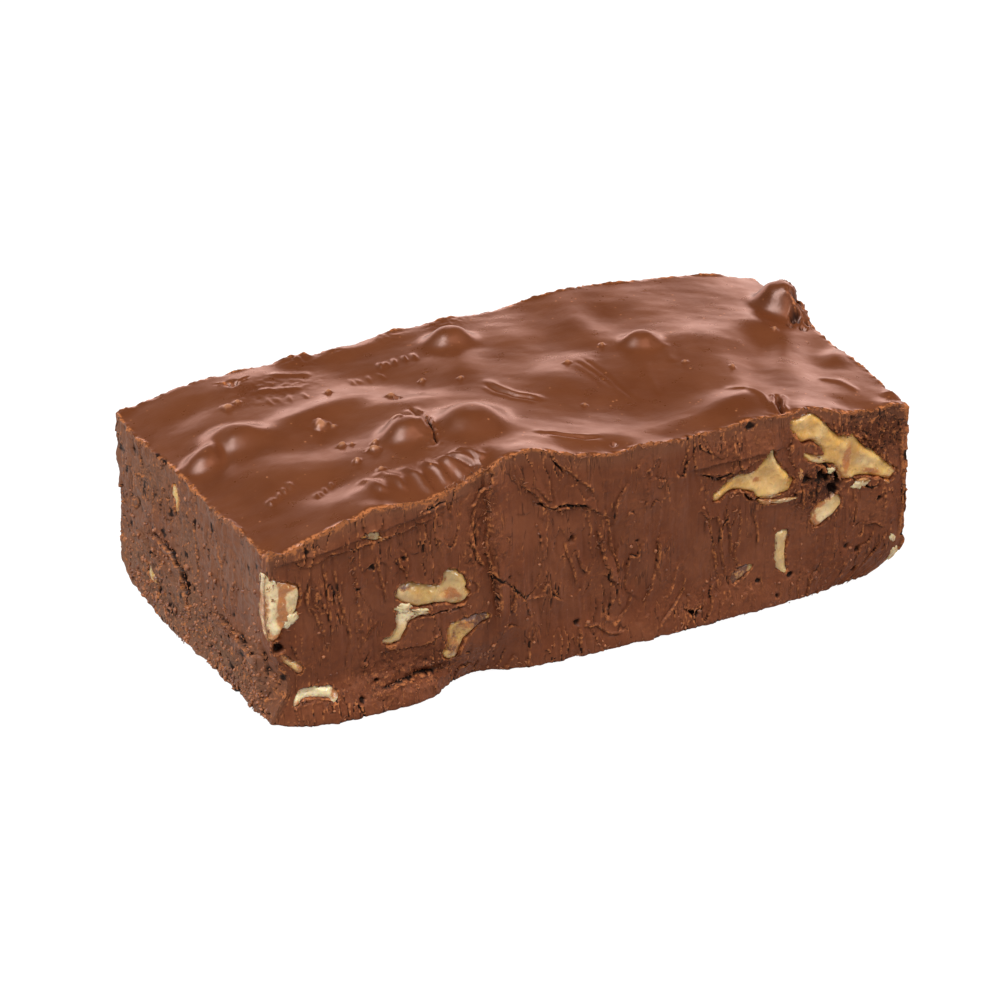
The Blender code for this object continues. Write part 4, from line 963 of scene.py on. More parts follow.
def top_detail(x, y):
    """The skin: smooth, with small folds, creases, ripples and bubbles, painted shade in its cracks, creases
    and pits, and a painted highlight on its crinkles.
    """
    seed = TOP_SEED
    relief = FaceRelief(x, y, seed)
    relief.wavy_a = x + 0.25 * uneven(x, y, 2.6, seed + 1)
    relief.wavy_b = y + 0.25 * uneven(x, y, 2.6, seed + 2)
    relief.height += 0.016 * uneven(x, y, 2.4, seed + 3) + 0.006 * uneven(x, y, 1.1, seed + 4)
    along, across = turned_offsets(x, y, 0, 0, FLOW_TURN)
    relief.height += 0.018 * uneven(along * 0.3, across, 1.8, seed + 5)
    for mark in TOP_MARKS:
        relief.draw(*mark)
    for from_x, from_y, to_x, to_y, count, length, height in RIPPLES:
        for k in range(count):
            share = (k + 0.5 + 0.3 * math.sin(5.1 * k)) / count
            middle = from_x + share * (to_x - from_x), from_y + share * (to_y - from_y)
            turn = RIPPLE_TURN + 9 * math.sin(2.3 * k)
            along, side = turned_offsets(relief.wavy_a, relief.wavy_b, *middle, turn)
            width = 0.36 + 0.1 * math.sin(1.7 * k)
            reach = length * (1 + 0.25 * math.sin(3.3 * k))
            rise = height * (1 + 0.2 * math.cos(4.1 * k))
            relief.height += rise * falloff(along / reach) * bell(side / width)
    for pit in TOP_PITS:
        relief.sink(*pit)
    for bubble in BUBBLES:
        relief.raise_bubble(*bubble)
    crinkled = sum(amount * spot(x, y, *place) for *place, amount in CRINKLES)
    relief.height += 0.16 * crinkled * layered(x, y, 1.2, seed + 6)
    # A painted highlight in torn orange on the crinkled places
    relief.torn += 0.35 * crinkled * np.clip(layered(x, y, 0.9, seed + 7), 0, 1)
    middle_x, middle_y, radius_x, radius_y, rise = KNOB_SHOULDER
    relief.height += rise * np.exp(-(np.hypot((x - middle_x) / radius_x, (y - middle_y) / radius_y) ** 4))
    *place, depth = KNOB_DIP
    relief.height -= depth * spot(x, y, *place)
    return relief


def lobed_outline(middle, size, turn, seed):
    """An uneven kernel outline of three to four lobes."""
    length, height = size
    draw = np.random.default_rng(seed)
    lobes, phase = draw.integers(3, 5), draw.uniform(0, math.tau)
    angle = np.linspace(0, math.tau, OUTLINE_POINTS, endpoint=False)
    radius = 0.5 * (1 + 0.2 * np.cos(lobes * angle + phase)) * draw.uniform(0.9, 1.06, len(angle))
    points = np.column_stack([length * radius * np.cos(angle), height * radius * np.sin(angle)])
    c, s = math.cos(math.radians(turn)), math.sin(math.radians(turn))
    return points @ np.array([[c, s], [-s, c]]) + middle


def face_lattice(fixed_axis, value, axis_u, axis_v, flipped):
    """Points on one side of the unit cube, as shares of its size, and the quads between them."""
    count_u, count_v = DIVISIONS[axis_u], DIVISIONS[axis_v]
    u, v = np.meshgrid(np.arange(count_u + 1), np.arange(count_v + 1), indexing="ij")
    share = np.empty((u.size, 3))
    share[:, fixed_axis] = value
    share[:, axis_u] = u.ravel() / count_u
    share[:, axis_v] = v.ravel() / count_v
    index = np.arange(u.size).reshape(u.shape)
    corners = [index[:-1, :-1], index[1:, :-1], index[1:, 1:], index[:-1, 1:]]
    quads = np.stack([c.ravel() for c in (corners[::-1] if flipped else corners)], axis=1)
    return share, quads


def base_edge():
    """The loop round the unit cube's base, as shares of its size."""
    nx, ny, _ = DIVISIONS
    loop = [(i / nx, 0) for i in range(nx)] + [(1, j / ny) for j in range(ny)]
    loop += [(i / nx, 1) for i in range(nx, 0, -1)] + [(0, j / ny) for j in range(ny, 0, -1)]
    return np.array([(u, v, 0) for u, v in loop])


def block_points(share):
    """Places every point of the block with its fine relief, and gives its looks."""
    along, across, up = share.T
    x, y = unit_to_block(along, across)
    top = top_height(x, y)
    z = up * top
    points = shaped(x, y, z)
    looks = {name: np.zeros(len(x)) for name in LOOKS}
    faces = (
        (y - FRONT, (0, -1, 0), lambda k: front_detail(x[k], z[k])),
        (back_line(x) - y, (0, 1, 0), lambda k: side_detail("back", x[k], z[k])),
        (x - LEFT_END, (-1, 0, 0), lambda k: side_detail("left", y[k], z[k])),
        (RIGHT_END - x, (1, 0, 0), lambda k: side_detail("right", y[k], z[k])),
        (top - z, (0, 0, 1), lambda k: top_detail(x[k], y[k])),
    )
    for depth, outward, detail in faces:
        weight = falloff(depth / FINE_REACH)
        near = weight > 0
        relief = detail(near)
        points[near] += np.outer(weight[near] * relief.height, outward)
        for name in looks:
            looks[name][near] += weight[near] * getattr(relief, name)
    fray_edges(points, looks, x, y, z, top, across)
    return points, looks


def fray_edges(points, looks, x, y, z, top, across):
    """Roughens the upper rim, the base's edge and the upright edge at the right of the front face."""
    seed = RIM_SEED
    round_block = x + y
    inward = from_sides(x, y)
    rim = bell(np.hypot(inward, top - z) / RIM_WIDTH)
    at_front = falloff((y - FRONT) / 3)
    lip = np.clip(uneven(round_block, z, 6.0, seed + 15) + 0.1, 0, 1)
    crumbled = layered(round_block, z, 1.4, seed)
    points[:, 2] += rim * (0.16 + 0.22 * at_front) * crumbled + 0.5 * rim * lip - 0.12 * rim
    ragged = 1 + 0.3 * uneven(x, y, 0.8, seed + 16)
    for tip_x, tip_y, radius, rise in RIM_TIPS:
        from_tip = np.hypot(x - tip_x, y - tip_y)
        points[:, 2] += rise * ragged * np.exp(-((from_tip / radius) ** 2)) * bell((top - z) / 1.2)
    at_base = falloff(z / 1.2) * np.isclose(inward, 0)
    points[:, 2] += at_base * (0.22 + 0.18 * layered(x, y, 2.2, seed + 10))
    out_x = np.where(x > 0, 1, -1) * (np.abs(across - 0.5) < 0.49)
    outward = np.column_stack([out_x, np.where(across > 0.5, 1, -1), 0 * x])
    points += outward * (rim * 0.16 * uneven(round_block, z, 0.9, seed + 5))[:, None]
    looks["torn"] += rim * np.clip(0.75 + 0.8 * uneven(round_block, z, 1.6, seed + 3), 0, 1.2)
    from_corner = np.hypot(RIGHT_END - x, y - FRONT)
    frayed = np.clip(0.5 + 0.9 * uneven(round_block, z, 1.8, seed + 4), 0, 1.0)
    looks["torn"] += bell(from_corner / 0.8) * frayed
    points[:, 0] += bell(from_corner / 0.35) * 0.12 * layered(y, z, 1.2, seed + 7)


def frame_shift():
    """From the construction's coordinates to the frame's, whose origin is the base's middle, in mm."""
    along, across, up = (v.ravel() for v in np.meshgrid(*[np.linspace(0, 1, FRAME_SAMPLES)] * 3))
    x, y = unit_to_block(along, across)
    points = shaped(x, y, up * top_height(x, y))
    middle = (points.min(axis=0) + points.max(axis=0)) / 2
    return (CAD_LOW + CAD_HIGH) / 2 / MM * (1, 1, 0) - middle * (1, 1, 0)


def in_frame(points):
    """Takes points from construction millimetres to the frame's metres, kept inside the solids' box."""
    return np.clip((np.asarray(points) + TO_FRAME) * MM, CAD_LOW, CAD_HIGH)


def new_object(name, points, faces, material, slot=None):
    """A mesh object of the slice, from points in construction millimetres."""
    mesh = bpy.data.meshes.new(name)
    mesh.from_pydata(in_frame(points).tolist(), [], faces)
    mesh.validate()
    if material.name == "torn_fudge":
        outward = bmesh.new()
        outward.from_mesh(mesh)
        bmesh.ops.recalc_face_normals(outward, faces=outward.faces)
        outward.to_mesh(mesh)
        outward.free()
    mesh.shade_smooth()
    obj = bpy.data.objects.new(name, mesh)
    bpy.context.scene.collection.objects.link(obj)
    mesh.materials.append(material)
    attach(obj, "root")
    return obj


def set_attribute(obj, name, values):
    """Gives each point a number that the material reads."""
    attribute = obj.data.attributes.new(name, "FLOAT", "POINT")
    attribute.data.foreach_set("value", np.clip(values, 0, 2).astype(np.float32))


def joined(parts):
    """One array of points and one list of faces, from the points and faces of several parts."""
    points, faces, start = [], [], 0
    for part_points, part_faces in parts:
        points.append(part_points)
        faces += [[start + index for index in face] for face in part_faces]
        start += len(part_points)
    return np.vstack(points), faces


def make_patch(name, sides, material):
    """One or more sides of the block, as a piece of its surface."""
    parts, looks = [], []
    for side in sides:
        share, quads = face_lattice(*side)
        placed, seen = block_points(share)
        parts.append((placed, quads.tolist()))
        looks.append(seen)
    obj = new_object(name, *joined(parts), material, "fudge")
    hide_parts("fudge")
    for look in LOOKS:
        set_attribute(obj, look, np.concatenate([seen[look] for seen in looks]))


def make_base(material):
    """The underside: it curls in from the lower edge and lies flat on the ground."""
    edge, _ = block_points(base_edge())
    middle = np.array([0, (FRONT + BACK_AT_RIGHT) / 2, 0])
    inward = middle - edge
    inward[:, 0] -= np.clip(inward[:, 0], -45, 45)
    inward /= np.linalg.norm(inward[:, :2], axis=1)[:, None]
    flat = edge + inward
    flat[:, 2] = 0
    count = len(edge)
    faces = [[k, k + count, (k + 1) % count + count, (k + 1) % count] for k in range(count)]
    faces.append(list(range(2 * count - 1, count - 1, -1)))
    obj = new_object("fudge_base", np.vstack([edge, flat]), faces, material, "fudge")
    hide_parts("fudge")


def make_block(skin, cut):
    """The top, cut faces and underside. A side is its fixed axis and value, its two axes, and its sense."""
    make_patch("fudge_top", [(2, 1, 0, 1, False)], skin)
    make_patch("fudge_front", [(1, 0, 0, 2, False)], cut)
    make_patch("fudge_back", [(1, 1, 0, 2, True)], cut)
    make_patch("fudge_ends", [(0, 0, 1, 2, True), (0, 1, 1, 2, False)], cut)
    make_base(cut)


def spline_outline(points, spacing):
    """A smooth closed line through the outline's points, at even spacing, with a slight wobble."""
    points = np.asarray(points, float)
    before, after, second = (np.roll(points, shift, axis=0) for shift in (1, -1, -2))
    pieces = []
    for t in np.linspace(0, 1, 8, endpoint=False):
        pieces.append(0.5 * (
            2 * points + (after - before) * t + (2 * before - 5 * points + 4 * after - second) * t**2
            + (3 * points - before - 3 * after + second) * t**3
        ))
    dense = np.stack(pieces, axis=1).reshape(-1, 2)
    closed = np.vstack([dense, dense[:1]])
    travelled = np.concatenate([[0], np.cumsum(np.hypot(*np.diff(closed, axis=0).T))])
    count = max(24, int(travelled[-1] / spacing))
    at = np.linspace(0, travelled[-1], count, endpoint=False)
    even = np.column_stack([np.interp(at, travelled, line) for line in closed.T])
    for axis in (0, 1):
        even[:, axis] += WOBBLE * uneven(even[:, 0], even[:, 1], 1.3, WOBBLE_SEED + axis)
    return even


def kernel_points(outline, depth, seed):
    """A walnut piece's cut surface and sides, as (a, b, height), its faces, and how far in each point is."""
    low, high = outline.min(axis=0), outline.max(axis=0)
    row = KERNEL_SPACING * math.sqrt(3) / 2
    grid = []
    for k, b in enumerate(np.arange(low[1], high[1], row)):
        line = np.arange(low[0] + (k % 2) * KERNEL_SPACING / 2, high[0], KERNEL_SPACING)
        grid.append(np.column_stack([line, np.full(len(line), b)]))
    grid = np.concatenate(grid)
    grid += 0.12 * KERNEL_SPACING * np.random.default_rng(seed).uniform(-1, 1, grid.shape)
    inside = outline_distance(grid[:, 0], grid[:, 1], outline)
    grid = grid[inside > 0.55 * KERNEL_SPACING]
    count = len(outline)
    flat = np.vstack([outline, grid])
    border = [(k, (k + 1) % count) for k in range(count)]
    placed, _, faces, origin, _, _ = delaunay_2d_cdt([Vector(p) for p in flat], border, [], 1, 1e-7)
    placed = np.array([p[:2] for p in placed])
    rank = [next((o for o in each if o < count), -1) for each in origin]
    border_index = [rank.index(k) for k in range(count)]
    a, b = placed.T
    from_edge = np.clip(outline_distance(a, b, outline), 0, None)
    from_edge[border_index] = 0
    rounding = min(1.1, 0.55 * inside.max())
    edge = np.clip(1 - from_edge / rounding, 0, 1)
    height = -rounding * (1 - np.sqrt(1 - 0.98 * edge**2)) + 0.16 * np.tanh(from_edge)
    lumps = 0.85 * uneven(a, b, 3.6, seed) + 0.24 * layered(a, b, 1.6, seed + 3)
    lumps -= 0.14 * creases(a, b, 3.0, seed + 7)
    height += lumps * np.clip(from_edge / 1.1, 0, 1) + 0.03 * uneven(a, b, 0.7, seed + 5)
    points = np.column_stack([a, b, height])
    middle = outline.mean(axis=0)
    rings, last = [], border_index
    for share in (0.15, 0.5, 1.0):
        ring = np.column_stack([placed[border_index], np.full(count, -rounding - share * depth)])
        ring[:, :2] = middle + (ring[:, :2] - middle) * (1 - 0.3 * share**2)
        rings.append(ring)
    points = np.vstack([points, *rings])
    faces = [list(face) for face in faces]
    start = len(placed)
    for _ in rings:
        ring = list(range(start, start + count))
        for k in range(count):
            following = (k + 1) % count
            faces.append([last[following], last[k], ring[k], ring[following]])
        last, start = ring, start + count
    faces.append(last[::-1])
    return points, faces, np.concatenate([from_edge, np.zeros(len(rings) * count)])


def face_points(face, a, b, height):
    """Points over a face of the block, from their place along it, up it, and out of it."""
    if face == "front":
        return shaped(a, FRONT - height, b)
    if face == "back":
        return shaped(a, back_line(a) + height, b)
    if face == "left":
        return shaped(LEFT_END - height, a, b)
    return shaped(RIGHT_END + height, a, b)


def laid_on(face, flake, middle_a, middle_b, angle, proud):
    """A flake's points over a face, turned by an angle about the flake's own middle."""
    c, s = math.cos(angle), math.sin(angle)
    along = middle_a + flake[:, 0] * c - flake[:, 1] * s
    up = middle_b + flake[:, 0] * s + flake[:, 1] * c
    return face_points(face, along, up, flake[:, 2] + proud)


def make_kernel(name, face, outline, shares, material, seed):
    """A walnut piece, flush with the face that the knife cut it in."""
    depth, smeared, skinned, cream, grey = shares
    outline = spline_outline(outline, OUTLINE_SPACING)
    points, faces, from_edge = kernel_points(outline, depth, seed)
    a, b, height = points.T
    placed = face_points(face, a, b, height + KERNEL_PROUD)
    if face in ("back", "left"):
        faces = [each[::-1] for each in faces]
    obj = new_object(name + "_kernel", placed, faces, material, "walnut")
    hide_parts(name)
    rim = bell(from_edge / 0.45)
    looks = {
        "smear": 1.4 * (0.7 * layered(a, b, 3.2, seed + 40) + 2.2 * smeared - 1.0),
        "skin": rim * np.clip(uneven(a, b, 3.4, seed + 50) + 2 * skinned - 0.35, 0, 1),
        "cream": cream + 0.4 * uneven(a, b, 4.0, seed + 70),
        "grey": grey + 0.5 * grey * uneven(a, b, 3.0, seed + 80),
    }
    looks["smear"] += 0.9 * bell(from_edge / 0.9) * np.clip(0.45 + 1.3 * uneven(a, b, 2.6, seed + 41), 0, 1)
    ragged_a = a + 0.3 * uneven(a, b, 1.1, seed + 42)
    ragged_b = b + 0.3 * uneven(a, b, 1.1, seed + 43)
    for look, middle_a, middle_b, half_length, half_width, turn, amount in WALNUT_SPOTS.get(name, ()):
        along, side = turned_offsets(ragged_a, ragged_b, middle_a, middle_b, turn)
        looks[look] += amount * bell(np.hypot(along / half_length, side / half_width))
    for look, values in looks.items():
        set_attribute(obj, look, np.clip(values, 0, 1))


def make_kernels(material):
    """Every walnut piece: those that the photo shows, then those of the other sides."""
    seed = KERNEL_SEED
    for name, (*shares, outline) in FRONT_WALNUTS.items():
        seed += 1
        make_kernel(name, "front", outline, shares, material, seed)
    for face, walnuts in OTHER_WALNUTS.items():
        for name, values in walnuts.items():
            seed += 1
            make_kernel(name, face, lobed_outline(*values[5:]), values[:5], material, seed)


def sliver(draw, length, width):
    """A torn flake of fudge, lying along the first axis and lifting off the face towards its tip."""
    stations = FLAKE_STATIONS
    t = np.linspace(0, 1, stations)
    curl, sway = draw.uniform(-0.5, 0.5), draw.uniform(-0.5, 0.5)
    along = length * (t - 0.25)
    across = length * (sway * t**2 + 0.12 * draw.uniform(-1, 1, stations))
    lift = length * (draw.uniform(0.03, 0.35) * t**1.4 + 0.08 * curl * np.sin(3 * t))
    taper = np.clip(1.05 - t ** draw.uniform(1.0, 2.5), 0.08, 1)
    half = 0.5 * width * taper * draw.uniform(0.7, 1.2, stations)
    thick = 0.5 * min(FLAKE_THICKNESS, 0.5 * width)
    lines = []
    for side, rise in ((1, 0), (0, 1), (-1, 0), (0, -1)):
        lines.append(np.column_stack([along, across + side * half, lift + rise * thick]))
    points = np.stack(lines, axis=1).reshape(-1, 3)
    rings = [[4 * k + j for j in range(4)] for k in range(stations)]
    faces = []
    for ring, beyond in zip(rings[:-1], rings[1:], strict=True):
        for j in range(4):
            following = (j + 1) % 4
            faces.append([ring[j], ring[following], beyond[following], beyond[j]])
    return points, faces + [rings[0][::-1], rings[-1]]


def chip_points(draw, length, width):
    """A ragged flake of walnut with its middle raised, as (along, across, height), and its faces."""
    count, thickness = CHIP_CORNERS, CHIP_THICKNESS
    angle = np.linspace(0, math.tau, count, endpoint=False)
    radius = 1 + 0.24 * draw.uniform(-1, 1, count) + 0.14 * np.cos(3 * angle + draw.uniform(0, math.tau))
    across = 0.5 * width * radius * np.sin(angle)
    along = 0.5 * length * radius * np.cos(angle)
    outer = np.column_stack([along, across, 0.10 * draw.uniform(-1, 1, count)])
    inner = outer * (0.7, 0.7, 0.5) + (0, 0, thickness)
    inner[:, 2] += 0.16 * draw.uniform(-1, 1, count)
    under = outer * (0.85, 0.85, 1) - (0, 0, thickness)
    points = np.vstack([outer, inner, under, [(0, 0, thickness * 1.2)]])
    faces = []
    for k in range(count):
        following = (k + 1) % count
        faces.append([k, following, following + count, k + count])
        faces.append([following, k, k + 2 * count, following + 2 * count])
        faces.append([k + count, following + count, 3 * count])
    return points, faces + [[k + 2 * count for k in range(count)][::-1]]


def make_chips(material):
    """Broken flakes of walnut that stick out of the front face, joined in one mesh."""
    draw = np.random.default_rng(CHIP_DRAWS)
    parts, looks = [], {"cream": [], "skin": []}
    for middle_a, middle_b, length, width, turn, cream, brown in CHIPS:
        chip, faces = chip_points(draw, length, width)
        parts.append((laid_on("front", chip, middle_a, middle_b, math.radians(turn), KERNEL_PROUD), faces))
        for look, amount in (("cream", cream), ("skin", brown)):
            looks[look].append(amount + 0.3 * draw.uniform(-1, 1, len(chip)))
    obj = new_object("walnut_chips", *joined(parts), material, "walnut")
    for look, values in looks.items():
        set_attribute(obj, look, np.concatenate(values))


def shred_lines():
    """Where torn flakes stand: face, points of a line, flakes to a millimetre, their length and width."""
    x = np.linspace(LEFT_END + 0.5, RIGHT_END - 0.5, 120)
    y = np.linspace(FRONT + 0.5, BACK_AT_RIGHT - 0.5, 60)
    lines = [
        ("front", np.column_stack([x, top_height(x, FRONT + 0 * x) - 0.35]), 1.3, 0.45, 0.3),
        ("left", np.column_stack([y, top_height(LEFT_END + 0 * y, y) - 0.6]), 1.6, 0.5, 0.36),
        ("front", np.array([(RIGHT_END - 0.8, z) for z in np.linspace(7, 29, 30)]), 1.2, 0.35, 0.22),
        ("front", np.array([(LEFT_END + 0.8, z) for z in np.linspace(2, 28, 30)]), 1.0, 0.5, 0.3),
        ("front", np.array([(a, 0.7) for a in np.linspace(-54, 54, 100)]), 0.9, 0.6, 0.36),
        ("left", np.array([(a, 0.7) for a in np.linspace(-25, 29, 60)]), 1.6, 0.7, 0.4),
    ]
    marked_faces = {"front": FRONT_MARKS, "left": LEFT_MARKS, "back": BACK_MARKS, "right": RIGHT_MARKS}
    for face, marks in marked_faces.items():
        for kind, size, points in marks:
            density = FLAKES_ALONG[kind] * (0.4 + abs(size))
            lines.append((face, np.array(points), density, 0.7, 0.34))
    for *_, outline in FRONT_WALNUTS.values():
        lines.append(("front", np.array(outline + outline[:1]), 0.8, 0.6, 0.3))
    return lines


def make_shreds(material):
    """Torn flakes along the upper rim, the folded edges, and round the walnuts, joined in one mesh."""
    draw = np.random.default_rng(FLAKE_DRAWS)
    parts = []
    for face, line, density, length, width in shred_lines():
        spans = np.diff(line, axis=0)
        lengths = np.hypot(*spans.T)
        total = lengths.sum()
        for _ in range(round(density * total)):
            at = draw.uniform(0, total)
            k = min(np.searchsorted(np.cumsum(lengths), at), len(lengths) - 1)
            share = draw.uniform()
            a, b = line[k] + share * spans[k] + 0.22 * draw.normal(size=2)
            size = length * draw.uniform(0.35, 1.25) ** 1.5
            flake, faces = sliver(draw, size, width * draw.uniform(0.4, 1.2))
            turn = math.atan2(spans[k][1], spans[k][0]) + draw.normal() * 0.8 + draw.integers(0, 2) * math.pi
            parts.append((laid_on(face, flake, a, b, turn, FLAKE_PROUD), faces))
    new_object("torn_flakes", *joined(parts), material, "fudge")


def crumb_places(face, draw):
    """Where crumbs stick to a face: mostly low down, resting on its relief."""
    count = CRUMB_COUNTS[face]
    a = draw.uniform(*CRUMB_SPANS[face], count)
    b = CRUMB_HEIGHT * draw.beta(0.9, 3.2 if face == "left" else 1.9, count) + 0.5
    detail = front_detail(a, b) if face == "front" else side_detail(face, a, b)
    return a, b, detail.height


def make_crumbs(material):
    """Small torn crumbs on the cut faces, joined in one mesh."""
    draw = np.random.default_rng(CRUMB_DRAWS)
    bm = bmesh.new()
    bmesh.ops.create_icosphere(bm, subdivisions=1, radius=1.0)
    ball = np.array([v.co for v in bm.verts])
    ball_faces = [[v.index for v in f.verts] for f in bm.faces]
    bm.free()
    parts = []
    for face in CRUMB_COUNTS:
        a, b, height = crumb_places(face, draw)
        larger = LEFT_CRUMB_SHARE if face == "left" else 1
        for centre in face_points(face, a, b, height + FLAKE_PROUD):
            size = draw.uniform(*CRUMB_SIZE) * draw.uniform(0.6, 1.2, 3) * larger
            crumb = ball * (1 + 0.3 * draw.uniform(-1, 1, (len(ball), 1))) * size
            angle = draw.uniform(0, math.tau)
            c, s = math.cos(angle), math.sin(angle)
            parts.append((crumb @ np.array([[c, s, 0], [-s, c, 0], [0, 0, 1]]) + centre, ball_faces))
    new_object("loose_crumbs", *joined(parts), material, "fudge")


class Shading:
    """A material's nodes, made a node at a time."""

    def __init__(self, name):
        self.material = bpy.data.materials.new(name)
        self.material.use_nodes = True
        self.nodes, self.links = self.material.node_tree.nodes, self.material.node_tree.links
        self.shader = self.nodes["Principled BSDF"]
        self.place = self.nodes.new("ShaderNodeTexCoord").outputs["Object"]

    def wire(self, socket, value):
        """Links a node's output to a socket, or sets the socket to a number or colour."""
        if isinstance(value, bpy.types.NodeSocket):
            self.links.new(value, socket)
        elif value is not None:
            socket.default_value = (*value, 1.0) if socket.type == "RGBA" else value

    def stretched(self, x, y, z):
        """The place on the slice, scaled along each axis, so that patterns run along the small one."""
        mapping = self.nodes.new("ShaderNodeMapping")
        mapping.inputs["Scale"].default_value = (x, y, z)
        self.links.new(self.place, mapping.inputs["Vector"])
        return mapping.outputs["Vector"]

    def noise(self, size_mm, place=None, detail=3.0, roughness=0.55, distortion=0.0):
        node = self.nodes.new("ShaderNodeTexNoise")
        node.inputs["Scale"].default_value = 1 / (size_mm * MM)
        node.inputs["Detail"].default_value = detail
        node.inputs["Roughness"].default_value = roughness
        node.inputs["Distortion"].default_value = distortion
        self.links.new(place or self.place, node.inputs["Vector"])
        return node.outputs["Fac"]

    def patches(self, size_mm, low, high, to_low=0.0, to_high=1.0, **more):
        """Noise, taken from one range of its values to another."""
        return self.ranged(self.noise(size_mm, **more), low, high, to_low, to_high)

    def specks(self, size_mm, radius):
        """1 at scattered points and 0 between them."""
        node = self.nodes.new("ShaderNodeTexVoronoi")
        node.inputs["Scale"].default_value = 1 / (size_mm * MM)
        self.links.new(self.place, node.inputs["Vector"])
        return self.ranged(node.outputs["Distance"], radius, 0.4 * radius)

    def band(self, value, middle, width):
        """1 where the value is at the middle, and 0 from the width on."""
        offset = self.math("ABSOLUTE", self.math("SUBTRACT", value, middle))
        return self.ranged(offset, 0.0, width, 1.0, 0.0)

    def attribute(self, name):
        node = self.nodes.new("ShaderNodeAttribute")
        node.attribute_name = name
        return node.outputs["Fac"]

    def ranged(self, value, low, high, to_low=0.0, to_high=1.0):
        node = self.nodes.new("ShaderNodeMapRange")
        node.interpolation_type = "SMOOTHSTEP"
        self.wire(node.inputs["Value"], value)
        node.inputs["From Min"].default_value = low
        node.inputs["From Max"].default_value = high
        node.inputs["To Min"].default_value = to_low
        node.inputs["To Max"].default_value = to_high
        return node.outputs["Result"]

    def math(self, operation, a, b=None):
        node = self.nodes.new("ShaderNodeMath")
        node.operation = operation
        self.wire(node.inputs[0], a)
        self.wire(node.inputs[1], b)
        return node.outputs["Value"]

    def times(self, a, b):
        return self.math("MULTIPLY", a, b)

    def plus(self, a, b):
        return self.math("ADD", a, b)

    def mix(self, share, a, b):
        """A colour that is a where the share is 0 and b where it is 1."""
        node = self.nodes.new("ShaderNodeMix")
        node.data_type = "RGBA"
        self.wire(node.inputs["Factor"], share)
        colours = [socket for socket in node.inputs if socket.type == "RGBA"]
        self.wire(colours[0], a)
        self.wire(colours[1], b)
        return next(socket for socket in node.outputs if socket.type == "RGBA")

    def bump(self, height, distance_mm, strength, normal=None):
        node = self.nodes.new("ShaderNodeBump")
        node.inputs["Strength"].default_value = strength
        node.inputs["Distance"].default_value = distance_mm * MM
        self.wire(node.inputs["Height"], height)
        self.wire(node.inputs["Normal"], normal)
        return node.outputs["Normal"]

    def finish(self, colour, roughness, normal, **constants):
        self.wire(self.shader.inputs["Base Color"], colour)
        self.wire(self.shader.inputs["Roughness"], roughness)
        self.wire(self.shader.inputs["Normal"], normal)
        for name, value in constants.items():
            self.shader.inputs[name.replace("_", " ")].default_value = value
        return self.material


# Colours of the fudge: cut; painted shade in cracks; torn thin, also a painted edge highlight; dust with
# painted sheen; its skin, and the specks and bubbles in the skin
CHOCOLATE = (0.180, 0.050, 0.0205)
CHOCOLATE_LIGHT = (0.225, 0.069, 0.030)
CHOCOLATE_DARK = (0.105, 0.028, 0.012)
CREVICE_SHADE = (0.016, 0.005, 0.003)
TORN_ORANGE_AND_HIGHLIGHT = (0.50, 0.165, 0.055)
TORN_DEEP = (0.20, 0.062, 0.024)
TORN_LIGHT = (0.46, 0.155, 0.055)
DUST_AND_SHEEN_COLOUR = (0.24, 0.125, 0.075)
SKIN_DEEP = (0.122, 0.033, 0.0108)
SKIN_LIGHT = (0.150, 0.044, 0.016)
SKIN_SPECK = (0.46, 0.17, 0.07)
SKIN_BUBBLE = (0.52, 0.23, 0.115)

# Colours of the walnut: its cut flesh, its brown skin, a painted glint, and fudge smeared on it thinly and
# thickly
WALNUT_GOLD = (0.74, 0.38, 0.085)
WALNUT_YELLOW = (0.93, 0.56, 0.165)
WALNUT_GREY = (0.50, 0.35, 0.155)
WALNUT_CREAM = (0.98, 0.75, 0.45)
WALNUT_PALE = (0.93, 0.70, 0.36)
WALNUT_STAIN = (0.50, 0.22, 0.05)
WALNUT_SKIN = (0.55, 0.185, 0.045)
WALNUT_GLINT = (1.0, 0.93, 0.78)
SMEAR_THIN = (0.46, 0.19, 0.052)
SMEAR_THICK = (0.16, 0.048, 0.017)


